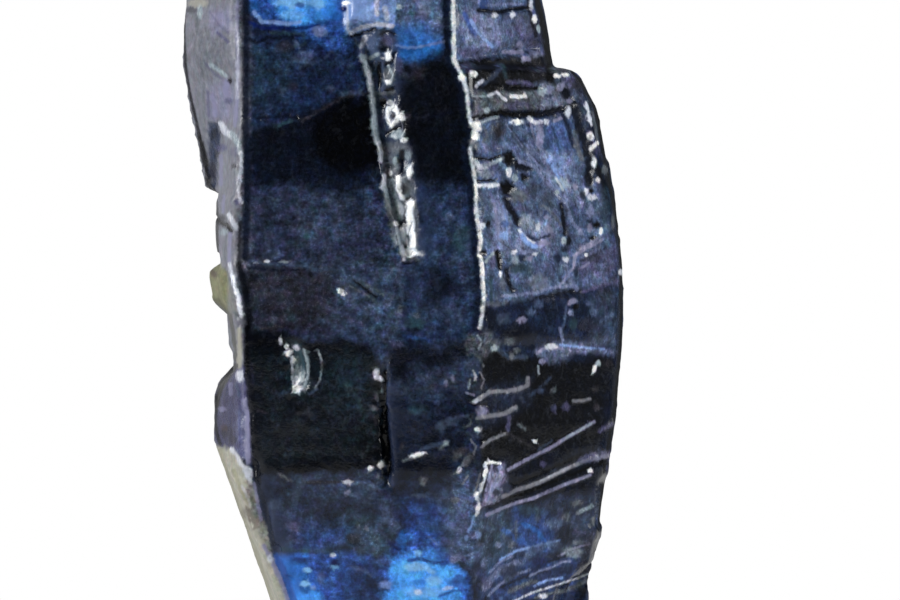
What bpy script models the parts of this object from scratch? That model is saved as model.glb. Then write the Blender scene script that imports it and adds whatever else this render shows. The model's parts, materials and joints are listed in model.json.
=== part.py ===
"""A rough sapphire: one stepped, barrel-shaped hexagonal crystal of blue corundum, standing on its flat base.

The crystal grew as a main prism with smaller parallel crystals fused to its sides. Every size below is in
millimetres, +Z runs up the crystal's long axis, and an azimuth is the compass bearing of a face's outward
normal: 0 faces -Y, which is the front, and 90 faces +X. Run it with blender --background --python part.py.
"""

import math
import random

import bmesh
import bpy
import numpy as np
from mathutils import Euler, Vector

MM = 0.001  # metres in a millimetre

# ---- Driving dimensions -------------------------------------------------------------------------------------

HEIGHT = 47.0
SHOULDER = 44.6  # where the main prism ends and the stepped top begins
MIDDLE = (-0.80, 0.235)  # the middle of the outline seen from above, measured from the prism's axis
REACH = 30.0  # how far a helper solid runs past the crystal

# The main prism's eight faces, in order round it: azimuth in degrees, and how far the face stands from the
# axis at each height, as (height, distance). Two heights 0.1 apart with different distances make a ledge.
LEFT, FRONT, RIGHT, RIM, BACK_RIGHT, BACK, BACK_LEFT, LEFT_BACK = range(8)
AZIMUTHS = (-78.0, -15.0, 50.0, 80.0, 110.0, 165.0, 222.0, 258.0)
FRONT_FACE = (
    (0.0, 5.75), (3.4, 6.2), (3.5, 6.34), (8.5, 7.0), (8.6, 7.12), (12.8, 7.45), (12.9, 7.62), (20.6, 7.8),
    (20.7, 7.72), (24.1, 7.76), (24.2, 7.62), (28.3, 7.48), (28.4, 7.4), (31.8, 7.28), (31.9, 7.08),
    (36.5, 6.75), (36.6, 6.62), (40.0, 6.35), (40.1, 6.2), (HEIGHT, 5.45),
)  # fmt: skip
RIGHT_FACE = (
    (0.0, 6.0), (6.1, 7.0), (6.2, 7.12), (11.6, 8.0), (11.7, 8.12), (16.0, 8.3), (16.1, 8.2), (20.0, 8.35),
    (20.1, 8.45), (22.4, 8.55), (22.5, 8.4), (27.6, 8.0), (27.7, 7.9), (30.1, 7.75), (30.2, 7.66), (32.7, 7.5),
    (32.8, 7.3), (34.3, 7.1), (34.5, 6.5), (37.7, 6.25), (37.8, 6.1), (41.5, 5.7), (41.6, 5.58), (HEIGHT, 4.9),
)  # fmt: skip
RIM_FACE = (
    (0.0, 5.7), (6.2, 7.4), (8.4, 9.06), (11.6, 9.6), (16.9, 10.34), (22.3, 10.68), (27.6, 10.1), (30.3, 9.6),
    (32.4, 9.1), (34.4, 8.2), (34.6, 6.97), (38.3, 6.4), (43.0, 5.5), (HEIGHT, 4.5),
)  # fmt: skip
BACK_RIGHT_FACE = (
    (0.0, 5.7), (6.2, 7.7), (8.4, 9.2), (16.9, 10.8), (22.3, 11.18), (27.6, 10.76), (32.4, 9.6), (34.4, 8.8),
    (34.6, 7.2), (38.3, 6.6), (43.0, 5.7), (HEIGHT, 4.7),
)  # fmt: skip
BACK_FACE = ((0.0, 4.9), (6.0, 6.0), (13.0, 7.1), (21.0, 7.5), (28.0, 7.3), (36.0, 6.7), (HEIGHT, 5.3))
BACK_LEFT_FACE = ((0.0, 4.7), (6.0, 5.9), (13.0, 6.9), (20.0, 7.2), (27.0, 7.5), (34.0, 7.4), (HEIGHT, 5.9))
LEFT_BACK_FACE = (
    (0.0, 4.9), (6.2, 6.7), (10.0, 7.9), (13.2, 8.7), (18.5, 8.85), (20.6, 9.1), (24.9, 10.36), (27.6, 10.58),
    (31.6, 9.9), (38.3, 10.1), (43.0, 9.7), (HEIGHT, 8.5),
)  # fmt: skip
LEFT_FACE = (
    (0.0, 5.4), (6.2, 7.3), (10.0, 8.45), (13.2, 9.4), (18.5, 10.12), (24.9, 10.74), (31.6, 10.2),
    (38.3, 10.15), (43.0, 9.75), (HEIGHT, 8.8),
)  # fmt: skip

# Growth tiers on the faces whose ledges aren't listed above: how tall a tier is, and how much of the
# face's lean is taken up by the ledge between two tiers.
TIER_LOW, TIER_HIGH = 1.1, 3.6
TIER_STEP = 0.8
LEDGE_RISE = 0.1

CHIP_SEED = 7


# ---- Geometry helpers ---------------------------------------------------------------------------------------


def normal(azimuth, tilt=0.0):
    """The outward unit normal of a face that looks along azimuth and tilts up by tilt degrees."""
    a, t = math.radians(azimuth), math.radians(tilt)
    return Vector((math.sin(a) * math.cos(t), -math.cos(a) * math.cos(t), math.sin(t)))


def new_object(name, mesh_source):
    """Links a new mesh object made from a bmesh in millimetres, with the origin under the crystal's middle."""
    bmesh.ops.translate(mesh_source, vec=(-MIDDLE[0], -MIDDLE[1], 0.0), verts=mesh_source.verts)
    bmesh.ops.scale(mesh_source, vec=(MM, MM, MM), verts=mesh_source.verts)
    bmesh.ops.recalc_face_normals(mesh_source, faces=mesh_source.faces)
    mesh = bpy.data.meshes.new(name)
    mesh_source.to_mesh(mesh)
    mesh_source.free()
    made = bpy.data.objects.new(name, mesh)
    bpy.context.scene.collection.objects.link(made)
    return made


def helper(made):
    """Keeps a solid that is only joined to or cut from the crystal out of the model."""
    made.hide_render = True
    made.display_type = "WIRE"
    return made


def faced_block(name, low, high, faces):
    """A convex block between two heights, bounded by faces, each an (azimuth, tilt, point on it)."""
    block = bmesh.new()
    bmesh.ops.create_cube(block, size=1.0)
    bmesh.ops.scale(block, vec=(2 * REACH, 2 * REACH, high - low), verts=block.verts)
    bmesh.ops.translate(block, vec=(0, 0, (low + high) / 2), verts=block.verts)
    for azimuth, tilt, point in faces:
        bmesh.ops.bisect_plane(
            block,
            geom=block.verts[:] + block.edges[:] + block.faces[:],
            plane_co=point,
            plane_no=normal(azimuth, tilt),
            clear_outer=True,
        )
        bmesh.ops.edgeloop_fill(block, edges=[e for e in block.edges if e.is_boundary])
    return helper(new_object(name, block))


def hull(name, points):
    """The smallest convex solid round points."""
    solid = bmesh.new()
    for point in points:
        solid.verts.new(point)
    found = bmesh.ops.convex_hull(solid, input=solid.verts)
    inside = [v for v in found["geom_interior"] if isinstance(v, bmesh.types.BMVert)]
    bmesh.ops.delete(solid, geom=inside, context="VERTS")
    return helper(new_object(name, solid))


def scoop(name, centre, radii, turn, fineness=1):
    """A rough ball that bites a shell-shaped flake out of a face: radii along its own axes, turned by turn."""
    ball = bmesh.new()
    bmesh.ops.create_icosphere(ball, subdivisions=fineness, radius=1.0)
    bmesh.ops.scale(ball, vec=radii, verts=ball.verts)
    spin = Euler([math.radians(angle) for angle in turn]).to_matrix()
    bmesh.ops.rotate(ball, matrix=spin, verts=ball.verts)
    bmesh.ops.translate(ball, vec=centre, verts=ball.verts)
    return helper(new_object(name, ball))


def combine(target, tool, operation):
    """Adds an exact Boolean of tool to target's modifiers."""
    step = target.modifiers.new(f"{operation.lower()}_{tool.name}", "BOOLEAN")
    step.operation = operation
    step.solver = "EXACT"
    step.object = tool


# ---- Main prism ---------------------------------------------------------------------------------------------


def tiered(envelope, seed, step=TIER_STEP):
    """The envelope broken into growth tiers with a small ledge between them, as (height, distance)."""
    dice = random.Random(seed)
    heights, distances = zip(*envelope)
    bottom, profile = 0.0, []
    while bottom < heights[-1]:
        top = round(bottom + dice.uniform(TIER_LOW, TIER_HIGH), 1)
        if top > heights[-1] - TIER_LOW:
            top = heights[-1]
        low, high = np.interp((bottom, top), heights, distances)
        middle, lean = (low + high) / 2, (high - low) * (1 - step) / 2
        start = bottom + (LEDGE_RISE if bottom else 0.0)
        profile += [(start, middle - lean), (top, middle + lean)]
        bottom = top
    return tuple(profile)


FACES = (
    tiered(LEFT_FACE, 1),
    FRONT_FACE,
    RIGHT_FACE,
    tiered(RIM_FACE[:9], 2, 0.4) + RIM_FACE[9:],
    tiered(BACK_RIGHT_FACE[:7], 3, 0.3) + BACK_RIGHT_FACE[7:],
    tiered(BACK_FACE, 4),
    tiered(BACK_LEFT_FACE, 5),
    tiered(LEFT_BACK_FACE, 6),
)


def distance(face, height):
    """How far one of the main prism's faces stands from the axis at a height."""
    heights, distances = zip(*FACES[face])
    return float(np.interp(height, heights, distances))


def edge_point(face, height):
    """Where a face of the main prism meets the next one at a height."""
    following = (face + 1) % len(FACES)
    first, second = normal(AZIMUTHS[face]), normal(AZIMUTHS[following])
    sides = np.array(((first.x, first.y), (second.x, second.y)))
    x, y = np.linalg.solve(sides, (distance(face, height), distance(following, height)))
    return Vector((x, y, height))


def on_face(face, x, height, out=0.0):
    """The point of a face at a given X and height, moved outwards by out."""
    way = normal(AZIMUTHS[face])
    return Vector((x, (distance(face, height) - way.x * x) / way.y, height)) + out * way


def main_prism():
    """The crystal's main body: rings of face corners at every height where a face changes, joined up."""
    prism = bmesh.new()
    heights = sorted({height for face in FACES for height, _ in face if height <= SHOULDER} | {SHOULDER})
    rings = [
        [prism.verts.new(edge_point(face, height)) for face in range(len(FACES))] for height in heights
    ]
    for low, high in zip(rings, rings[1:]):
        for here in range(len(FACES)):
            there = (here + 1) % len(FACES)
            prism.faces.new((low[here], low[there], high[there], high[here]))
    prism.faces.new(reversed(rings[0]))
    prism.faces.new(rings[-1])
    flat = math.radians(0.05)
    bmesh.ops.dissolve_limit(prism, angle_limit=flat, verts=prism.verts, edges=prism.edges)
    return new_object("sapphire_crystal", prism)


# ---- Parallel crystals fused to the main prism --------------------------------------------------------------


def upper_left_growth():
    """The broad shoulder crystal that overhangs the left side and tapers away downwards."""
    corner = (-12.68, 1.7, 34.9)
    return faced_block(
        "upper_left_growth",
        20.0,
        44.0,
        (
            (-64, -13.5, corner),
            (-65, 1, corner),
            (-66, 8, (-12.62, 1.7, 37.0)),
            (-72, 38, (-11.9, 1.0, 43.2)),
            (-150, 4, corner),
            (-120, -75, (-10.9, 1.0, 27.8)),
            (-15, 4, (-9.4, -4.4, 35.0)),
            (90, 0, (-3.0, 0.0, 30.0)),
        ),
    )


def lower_left_growth():
    """The lobe low on the left, whose underside is one pale slanting face that runs to the base."""
    corner = (-10.86, -0.5, 14.9)
    return faced_block(
        "lower_left_growth",
        0.0,
        20.0,
        (
            (-70, 0, corner),
            (-83, -20, corner),
            (-75, 25, (-10.5, -0.8, 17.7)),
            (-80, 48, (-9.9, -1.0, 18.4)),
            (-140, -3, corner),
            (-15, -7.8, (-9.0, -5.05, 12.8)),
            (-15, 4.0, (-9.0, -5.05, 12.8)),
            (90, 0, (-3.0, 0.0, 10.0)),
        ),
    )


def side_knob():
    """The small wedge that stands out of the left face at mid height."""
    return faced_block(
        "side_knob",
        20.0,
        26.0,
        (
            (-78, 55, (-10.72, -1.0, 23.8)),
            (-80, -10, (-10.84, -1.0, 23.5)),
            (-80, -50, (-10.6, -1.0, 22.1)),
            (-12, 0, (-11.0, -3.4, 23.0)),
            (-150, 10, (-11.0, 0.6, 23.0)),
            (90, 0, (-8.0, 0.0, 23.0)),
        ),
    )


def back_growths():
    """Three flat crystals laid parallel on the back, each standing a little proud."""
    tall = faced_block(
        "back_growth_tall",
        3.0,
        29.4,
        (
            (165, 2, (2.0, 8.2, 16.0)),
            (110, 4, (7.2, 6.0, 16.0)),
            (222, 3, (-2.4, 8.0, 16.0)),
            (150, -32, (1.0, 8.4, 7.4)),
            (0, 0, (0.0, 2.0, 10.0)),
            (-90, 0, (-4.0, 2.0, 10.0)),
        ),
    )
    narrow = faced_block(
        "back_growth_narrow",
        6.0,
        26.0,
        (
            (222, 1, (-6.1, 5.6, 18.0)),
            (165, 0, (-5.0, 7.0, 18.0)),
            (260, -5, (-9.0, 2.6, 18.0)),
            (222, 52, (-6.3, 5.4, 23.0)),
            (215, -40, (-6.5, 5.4, 10.6)),
            (0, 0, (0.0, 1.0, 10.0)),
            (45, 0, (-4.0, 2.0, 15.0)),
        ),
    )
    high = faced_block(
        "back_growth_high",
        31.6,
        43.4,
        (
            (166, 5, (1.0, 7.6, 34.0)),
            (108, 3, (5.4, 4.0, 36.0)),
            (225, 2, (-2.2, 8.0, 36.0)),
            (160, 48, (1.0, 6.8, 41.2)),
            (0, 0, (0.0, 2.0, 36.0)),
            (-90, 0, (-5.0, 2.0, 10.0)),
        ),
    )
    return tall, narrow, high


def front_column():
    """The narrow raised column at the top of the front, above the long broken groove."""
    lows = [on_face(FRONT, x, 36.75, out) for x, out in ((-3.7, 0.0), (-3.4, 0.42), (-1.7, 0.34), (-1.4, 0.0))]
    tops = [on_face(FRONT, x, 43.6, out) for x, out in ((-4.3, 0.0), (-4.0, 0.3), (-2.1, 0.3), (-1.8, 0.0))]
    inner = [on_face(FRONT, x, z, -1.0) for x in (-4.2, -1.6) for z in (37.0, 44.0)]
    return hull("front_column", lows + tops + inner)


def top_plates():
    """The stepped top: three stacked six-sided plates, each smaller and set off to one side."""
    plates = []
    for index, (x, y, radius, low, high) in enumerate(
        ((-2.6, 0.6, 6.6, 43.9, 45.5), (-3.4, 0.2, 5.0, 45.0, 46.4), (-2.6, -0.6, 3.2, 46.0, HEIGHT))
    ):
        corners = [
            (x + size * math.sin(math.radians(turn)), y - size * math.cos(math.radians(turn)), z)
            for z, size in ((low, radius), (high, radius - 0.35))
            for turn in range(15, 375, 60)
        ]
        plates.append(hull(f"top_plate_{index + 1}", corners))
    return plates


# ---- Broken and worn places ---------------------------------------------------------------------------------


def groove(name, face, route, width, depth, lip=0.2):
    """Cutters for a groove along a route of (x, height) on a face: a steep wall on its left side at lip from
    the edge, and a floor that rises to the right over width."""
    pieces = []
    for index, ((x1, z1), (x2, z2)) in enumerate(zip(route, route[1:])):
        ends = [
            on_face(face, x + across, z, out)
            for x, z in ((x1, z1), (x2, z2))
            for across, out in ((-0.05, 0.6), (0.0, 0.02), (lip, -depth), (width, 0.02), (width + 0.05, 0.6))
        ]
        pieces.append(hull(f"{name}_{index + 1}", ends))
    return pieces


def notch(name, start, end, inward, width, depth):
    """A V-shaped crack from start to end, opening out along -inward."""
    along = (end - start).normalized()
    across = along.cross(inward).normalized() * width / 2
    out = -inward.normalized()
    points = [
        place + shift
        for place in (start, end)
        for shift in (across + out * 0.02, -across + out * 0.02, across + out * 0.8, -across + out * 0.8)
    ]
    points += [start - out * depth * 0.6, end - out * depth]
    return hull(name, points)


def edge_chips(dice):
    """Shell-shaped flakes off the main prism's edges. The ridge between front and right is worn all along."""
    chips = []
    plans = (
        (FRONT, 20.4, 43.6, 0.8, 1.5, 0.12, 0.26),
        (LEFT, 14.5, 43.0, 2.2, 4.4, 0.1, 0.22),
        (RIGHT, 9.0, 33.6, 2.0, 4.2, 0.1, 0.24),
        (BACK_RIGHT, 3.0, 42.0, 3.4, 6.4, 0.2, 0.5),
        (BACK, 31.0, 43.0, 3.4, 6.0, 0.2, 0.5),
        (BACK_LEFT, 8.0, 27.0, 3.4, 6.4, 0.2, 0.45),
    )
    for face, low, high, near, far, shallow, deep in plans:
        height = low
        following = (face + 1) % len(FACES)
        middle = (normal(AZIMUTHS[face]) + normal(AZIMUTHS[following])).normalized()
        bearing = (AZIMUTHS[face] + AZIMUTHS[following]) / 2
        while height < high:
            tall = dice.uniform(0.55, 0.9) * near
            thick = dice.uniform(0.5, 0.8) * near
            centre = edge_point(face, height) + middle * (thick - dice.uniform(shallow, deep))
            turn = (dice.uniform(-14, 14), dice.uniform(-14, 14), bearing)
            chips.append(scoop(f"chip_{len(chips) + 1:02d}", centre, (0.8 * near, thick, tall), turn))
            height += dice.uniform(near, far)
    return chips


def front_breaks():
    """The long broken groove down the front, its shell-shaped flakes, the crack below it, and three pits."""
    route = ((-3.45, 36.6), (-2.7, 34.6), (-2.3, 31.9), (-1.8, 28.4), (-1.1, 25.8), (-0.75, 24.4))
    breaks = groove("front_groove", FRONT, route, 1.3, 0.55)
    flakes = (
        (-1.75, 35.5, 0.5, 0.7), (-1.6, 34.2, 0.4, 0.6), (-1.45, 32.7, 0.55, 0.7), (-1.1, 31.2, 0.45, 0.6),
        (-0.75, 29.4, 0.5, 0.8), (-0.6, 27.6, 0.5, 1.0), (-0.5, 25.9, 0.45, 0.9),
    )  # fmt: skip
    for index, (x, z, wide, tall) in enumerate(flakes):
        breaks.append(
            scoop(f"groove_flake_{index + 1}", on_face(FRONT, x, z, -0.1), (wide, 0.42, tall), (0, 12, 20))
        )
    inward = -normal(AZIMUTHS[FRONT])
    breaks.append(
        notch("front_crack_upper", on_face(FRONT, -0.95, 24.0), on_face(FRONT, -2.0, 18.6), inward, 0.16, 0.22)
    )
    breaks.append(
        notch("front_crack_lower", on_face(FRONT, -2.0, 18.8), on_face(FRONT, -1.5, 12.4), inward, 0.34, 0.5)
    )
    pits = ((-6.3, 18.5, 0.42, 1.25, 8), (-3.85, 22.65, 0.26, 0.3, 40), (-1.9, 13.4, 0.4, 0.22, -35))
    for index, (x, z, wide, tall, lean) in enumerate(pits):
        breaks.append(scoop(f"front_pit_{index + 1}", on_face(FRONT, x, z, 0.0), (wide, 0.3, tall), (0, lean, 0)))
    return breaks


def right_breaks():
    """Level cracks high on the right face, and long slanting scratches low on it."""
    inward = -normal(AZIMUTHS[RIGHT])
    cracks = (
        (2.2, 37.5, 6.2, 37.8, 0.3, 0.3), (2.6, 34.9, 6.6, 35.6, 0.5, 0.42), (3.2, 32.2, 8.4, 32.7, 0.34, 0.36),
        (3.3, 30.0, 4.7, 30.2, 0.22, 0.24), (3.4, 28.7, 4.4, 28.8, 0.2, 0.2), (4.2, 26.4, 4.9, 22.8, 0.24, 0.28),
        (7.6, 27.2, 7.7, 24.6, 0.2, 0.22), (4.9, 13.0, 9.1, 15.5, 0.24, 0.22), (4.6, 11.7, 9.6, 14.1, 0.3, 0.28),
        (4.8, 10.8, 9.4, 13.0, 0.2, 0.2), (5.2, 8.6, 8.8, 10.2, 0.24, 0.24), (4.2, 6.6, 8.2, 8.6, 0.24, 0.22),
        (4.6, 3.2, 7.2, 4.6, 0.24, 0.2),
    )  # fmt: skip
    return [
        notch(f"right_crack_{index + 1}", on_face(RIGHT, x1, z1), on_face(RIGHT, x2, z2), inward, wide, deep)
        for index, (x1, z1, x2, z2, wide, deep) in enumerate(cracks)
    ]


def shell_breaks():
    """The shell-shaped fractures: two large ones on the back and one at each broken top corner."""
    return (
        scoop("shell_low", (9.2, 8.0, 10.6), (4.4, 3.2, 5.0), (12, 0, 38), 2),
        scoop("shell_high", (-4.8, 11.0, 36.4), (3.6, 2.9, 4.2), (-14, 8, -24), 2),
        scoop("shell_top_right", (6.6, 2.0, 46.0), (4.2, 5.4, 3.0), (0, 34, 10), 2),
        scoop("shell_top_back", (-7.6, 8.4, 46.4), (5.0, 3.6, 3.6), (24, 0, 30), 2),
        scoop("shell_base", (-6.4, 5.4, 1.2), (3.2, 2.6, 2.6), (0, 20, 0), 2),
    )


# ---- The whole crystal --------------------------------------------------------------------------------------


def sapphire_material():
    """Deep blue, glassy and a little clear."""
    material = bpy.data.materials.new("sapphire")
    material.use_nodes = True
    shader = material.node_tree.nodes["Principled BSDF"]
    shader.inputs["Base Color"].default_value = (0.02, 0.045, 0.16, 1.0)
    shader.inputs["Roughness"].default_value = 0.18
    shader.inputs["Metallic"].default_value = 0.0
    shader.inputs["IOR"].default_value = 1.77
    shader.inputs["Transmission Weight"].default_value = 0.4
    return material


def main():
    """Builds the crystal: one solid, so one object."""
    for old in list(bpy.data.objects):
        bpy.data.objects.remove(old)
    crystal = main_prism()
    crystal.data.materials.append(sapphire_material())
    growths = [upper_left_growth(), lower_left_growth(), side_knob(), front_column()]
    for growth in (*growths, *back_growths(), *top_plates()):
        combine(crystal, growth, "UNION")
    breaks = [*edge_chips(random.Random(CHIP_SEED)), *front_breaks(), *right_breaks(), *shell_breaks()]
    for broken in breaks:
        combine(crystal, broken, "DIFFERENCE")


main()
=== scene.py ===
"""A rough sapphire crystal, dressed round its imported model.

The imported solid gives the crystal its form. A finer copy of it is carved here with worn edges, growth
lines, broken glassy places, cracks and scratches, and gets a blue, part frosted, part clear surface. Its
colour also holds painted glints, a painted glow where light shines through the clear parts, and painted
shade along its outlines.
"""

import json
import logging
import math
from abc import ABC, abstractmethod
from dataclasses import dataclass, field
from enum import Enum, IntEnum
from itertools import product
from typing import ClassVar

import bpy
import numpy as np
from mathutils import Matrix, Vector

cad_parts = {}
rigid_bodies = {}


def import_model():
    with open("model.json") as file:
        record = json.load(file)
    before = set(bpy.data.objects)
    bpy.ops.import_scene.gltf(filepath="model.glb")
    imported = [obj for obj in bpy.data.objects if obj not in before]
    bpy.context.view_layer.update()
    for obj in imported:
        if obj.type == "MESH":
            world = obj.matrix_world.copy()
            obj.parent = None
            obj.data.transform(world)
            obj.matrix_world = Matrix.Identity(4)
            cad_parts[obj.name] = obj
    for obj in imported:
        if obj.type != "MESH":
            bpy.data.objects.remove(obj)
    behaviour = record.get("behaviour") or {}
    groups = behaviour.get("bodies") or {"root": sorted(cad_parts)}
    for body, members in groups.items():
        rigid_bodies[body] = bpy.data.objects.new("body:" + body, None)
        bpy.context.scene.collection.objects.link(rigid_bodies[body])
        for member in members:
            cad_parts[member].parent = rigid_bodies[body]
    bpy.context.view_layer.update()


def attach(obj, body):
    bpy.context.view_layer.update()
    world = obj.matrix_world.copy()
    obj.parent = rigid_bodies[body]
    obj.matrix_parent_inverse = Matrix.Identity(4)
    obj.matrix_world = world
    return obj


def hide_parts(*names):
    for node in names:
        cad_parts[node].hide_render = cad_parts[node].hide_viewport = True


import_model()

MM = 0.001
# How strong the painted colours are against their plain values.
PAINT_GAIN = 0.66
# A tint whose red, green and blue add up to more than this stands out from the dark stone.
PALE_LEVEL = 380

log = logging.getLogger("sapphire")


# ---- Small tools ----


def smooth(low: float, high: float, values: np.ndarray) -> np.ndarray:
    """Runs smoothly from 0 at low to 1 at high.

    Args:
        low: Where the rise starts.
        high: Where it ends. It may be below low, and then the result falls.
        values: What to read.

    Returns:
        One share for each value.
    """
    share = np.clip((values - low) / (high - low), 0.0, 1.0)
    return share * share * (3.0 - 2.0 * share)


class Seed(IntEnum):
    """The random patterns. The two pushes take the number after theirs too."""

    BULGE = 11
    GROWTH = 12
    GRAIN = 13
    WEAR = 14
    LINE_PUSH = 15
    CHIPS = 19
    BEADS = 21
    BROAD = 31
    DRIFT = 32
    HUE = 33
    SHADE = 34
    BANDS = 35
    AREA_PUSH = 41


@dataclass(frozen=True)
class Noise:
    """Smooth random values that depend on place alone."""

    seed: int
    primes: ClassVar[tuple] = (73856093, 19349663, 83492791)
    seed_prime: ClassVar[int] = 2654435
    mixer: ClassVar[int] = 1274126177
    gain: ClassVar[float] = 1.5
    octave_gap: ClassVar[float] = 17.3

    def gradient(self, cell: np.ndarray) -> np.ndarray:
        """Gives each cell corner its own random direction.

        Args:
            cell: Whole-number corners, one row each.

        Returns:
            A direction for each corner.
        """
        mixed = self.seed * self.seed_prime
        for axis, prime in enumerate(self.primes):
            mixed = mixed ^ (cell[:, axis] * prime)
        parts = []
        for turn in (1, 2, 3):
            mixed = (mixed ^ (mixed >> 13)) * self.mixer & 0x7FFFFFFF
            parts.append(((mixed >> (4 + turn)) & 1023) / 511.5 - 1.0)
        return np.stack(parts, axis=1)

    def at(self, points: np.ndarray) -> np.ndarray:
        """Reads the noise.

        Args:
            points: Places, one row each, in cells.

        Returns:
            One value for each place, mostly from -1 to 1.
        """
        cell = np.floor(points).astype(np.int64)
        part = points - cell
        ease = part**3 * (part * (part * 6.0 - 15.0) + 10.0)
        total = np.zeros(len(points))
        for corner in product((0, 1), repeat=3):
            step = np.array(corner)
            weight = np.prod(np.where(step == 1, ease, 1.0 - ease), axis=1)
            total += weight * np.einsum("ij,ij->i", self.gradient(cell + step), part - step)
        return total * self.gain

    def rich(self, points: np.ndarray, octaves: int = 3) -> np.ndarray:
        """Adds up octaves of the noise, each half as strong and twice as fine.

        Args:
            points: Places, one row each, in cells of the coarsest octave.
            octaves: How many to add.

        Returns:
            One value for each place.
        """
        return sum(self.at(points * 2.0**k + self.octave_gap * k) * 0.5**k for k in range(octaves))


def distance_to(path: tuple, spots: np.ndarray) -> tuple[np.ndarray, np.ndarray]:
    """Measures how far spots lie from a path.

    Args:
        path: The path's points.
        spots: Places on the sheet, one row each.

    Returns:
        The distance of each spot, and how far along the path its nearest point is.
    """
    best = np.full(len(spots), np.inf)
    along = np.zeros(len(spots))
    travelled = 0.0
    for start, end in zip(path, path[1:]):
        start, end = np.array(start, float), np.array(end, float)
        run = end - start
        length = max(float(np.hypot(*run)), 1e-6)
        share = np.clip(((spots - start) @ run) / length**2, 0.0, 1.0)
        away = np.hypot(*(spots - start - share[:, None] * run).T)
        nearer = away < best
        best[nearer] = away[nearer]
        along[nearer] = travelled + share[nearer] * length
        travelled += length
    return best, along


# ---- Sides, colours and kinds of mark ----


class Side(Enum):
    """The crystal's sides: the bearing of each one's outward normal in degrees, then how near a point's own
    normal has to come to it, as cosines, to start to belong to the side and to belong to it in full."""

    LEFT = (-76.0, 0.35, 0.75)
    FRONT = (-15.0, 0.7, 0.86)
    RIGHT = (50.0, 0.7, 0.86)
    RIM = (92.0, 0.72, 0.93)
    NEAR = (0.0, -0.2, 0.0)

    def share(self, normals: np.ndarray) -> np.ndarray:
        """Says how far each point belongs to this side.

        Args:
            normals: The points' outward normals.

        Returns:
            A share from 0 to 1 for each point.
        """
        bearing, low, high = self.value
        turn = math.radians(bearing)
        return smooth(low, high, normals @ np.array((math.sin(turn), -math.cos(turn), 0.0)))


class Tint(Enum):
    """The crystal's colours: red, green and blue out of 255, and how dull the surface is, from 0 to 1.

    The palest ones are brighter than white paper, since they are painted glints, laid on pale broken places.
    The brightest blues are a painted glow of light shining through the crystal's clear parts.
    """

    BLACK = (1, 2, 6, 0.0)
    INK = (7, 12, 24, 0.1)
    NIGHT = (15, 25, 46, 0.1)
    NAVY = (30, 46, 80, 0.1)
    DUSK = (52, 64, 94, 0.15)
    SMOKE = (54, 52, 62, 0.3)
    TEAL = (50, 78, 92, 0.2)
    SLATE = (72, 88, 118, 0.2)
    STEEL = (92, 112, 152, 0.25)
    VIOLET = (98, 98, 140, 0.3)
    HAZE = (140, 152, 196, 0.3)
    LILAC = (158, 158, 196, 0.5)
    FROST = (146, 148, 161, 0.6)
    ASH = (112, 120, 130, 0.4)
    GLASS = (180, 198, 210, 0.3)
    # Painted glints, on pale broken and frosted places.
    GLINT_PEARL = (244, 250, 266, 0.35)
    WHITE = (304, 312, 326, 0.35)
    ABYSS = (10, 30, 100, 0.0)
    COBALT = (54, 98, 186, 0.0)
    # The next four: a painted glow of light shining through the crystal's clear parts.
    OCEAN = (48, 130, 232, 0.0)
    AZURE_GLOW = (94, 200, 322, 0.0)
    SKY_GLOW = (160, 232, 300, 0.0)
    BLOOM = (152, 188, 256, 0.1)
    KHAKI = (152, 152, 116, 0.8)
    OLIVE = (74, 73, 46, 0.6)
    BEIGE = (196, 194, 180, 0.8)
    BROWN = (94, 78, 74, 0.6)

    @property
    def pale(self) -> bool:
        """Whether it stands out from the dark stone."""
        return sum(self.value[:3]) > PALE_LEVEL

    def linear(self) -> np.ndarray:
        """The colour's linear red, green and blue, by the usual curve of screen colours."""
        level = np.array(self.value[:3]) / 255.0
        return PAINT_GAIN * np.where(level <= 0.04045, level / 12.92, ((level + 0.055) / 1.055) ** 2.4)


# The blues painted with the glow of light shining through the crystal's clear parts.
CLEAR_BLUE_GLOWS = (Tint.AZURE_GLOW, Tint.OCEAN, Tint.SKY_GLOW, Tint.BLOOM)
FLAKE_TINTS = (Tint.ASH, Tint.GLASS, Tint.GLINT_PEARL, Tint.WHITE)


@dataclass(frozen=True)
class Sheet:
    """The layout sheet that marks are drawn on: the crystal seen from straight in front, in squares.

    A square's side, the distance it's seen from and the aim, across and up, are in millimetres.
    """

    square: float = 0.05325
    distance: float = 400.0
    middle: tuple = (450.0, 300.0)
    aim: tuple = (2.557, 22.2)

    def place(self, points: np.ndarray) -> np.ndarray:
        """Finds where points of the crystal lie on the sheet.

        Args:
            points: Places in millimetres, one row each.

        Returns:
            Across and down, in squares from the sheet's top left.
        """
        nearer = self.distance / (self.distance + points[:, 1])
        across = self.middle[0] + (points[:, 0] - self.aim[0]) * nearer / self.square
        down = self.middle[1] - (points[:, 2] - self.aim[1]) * nearer / self.square
        return np.stack((across, down), axis=1)


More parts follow.
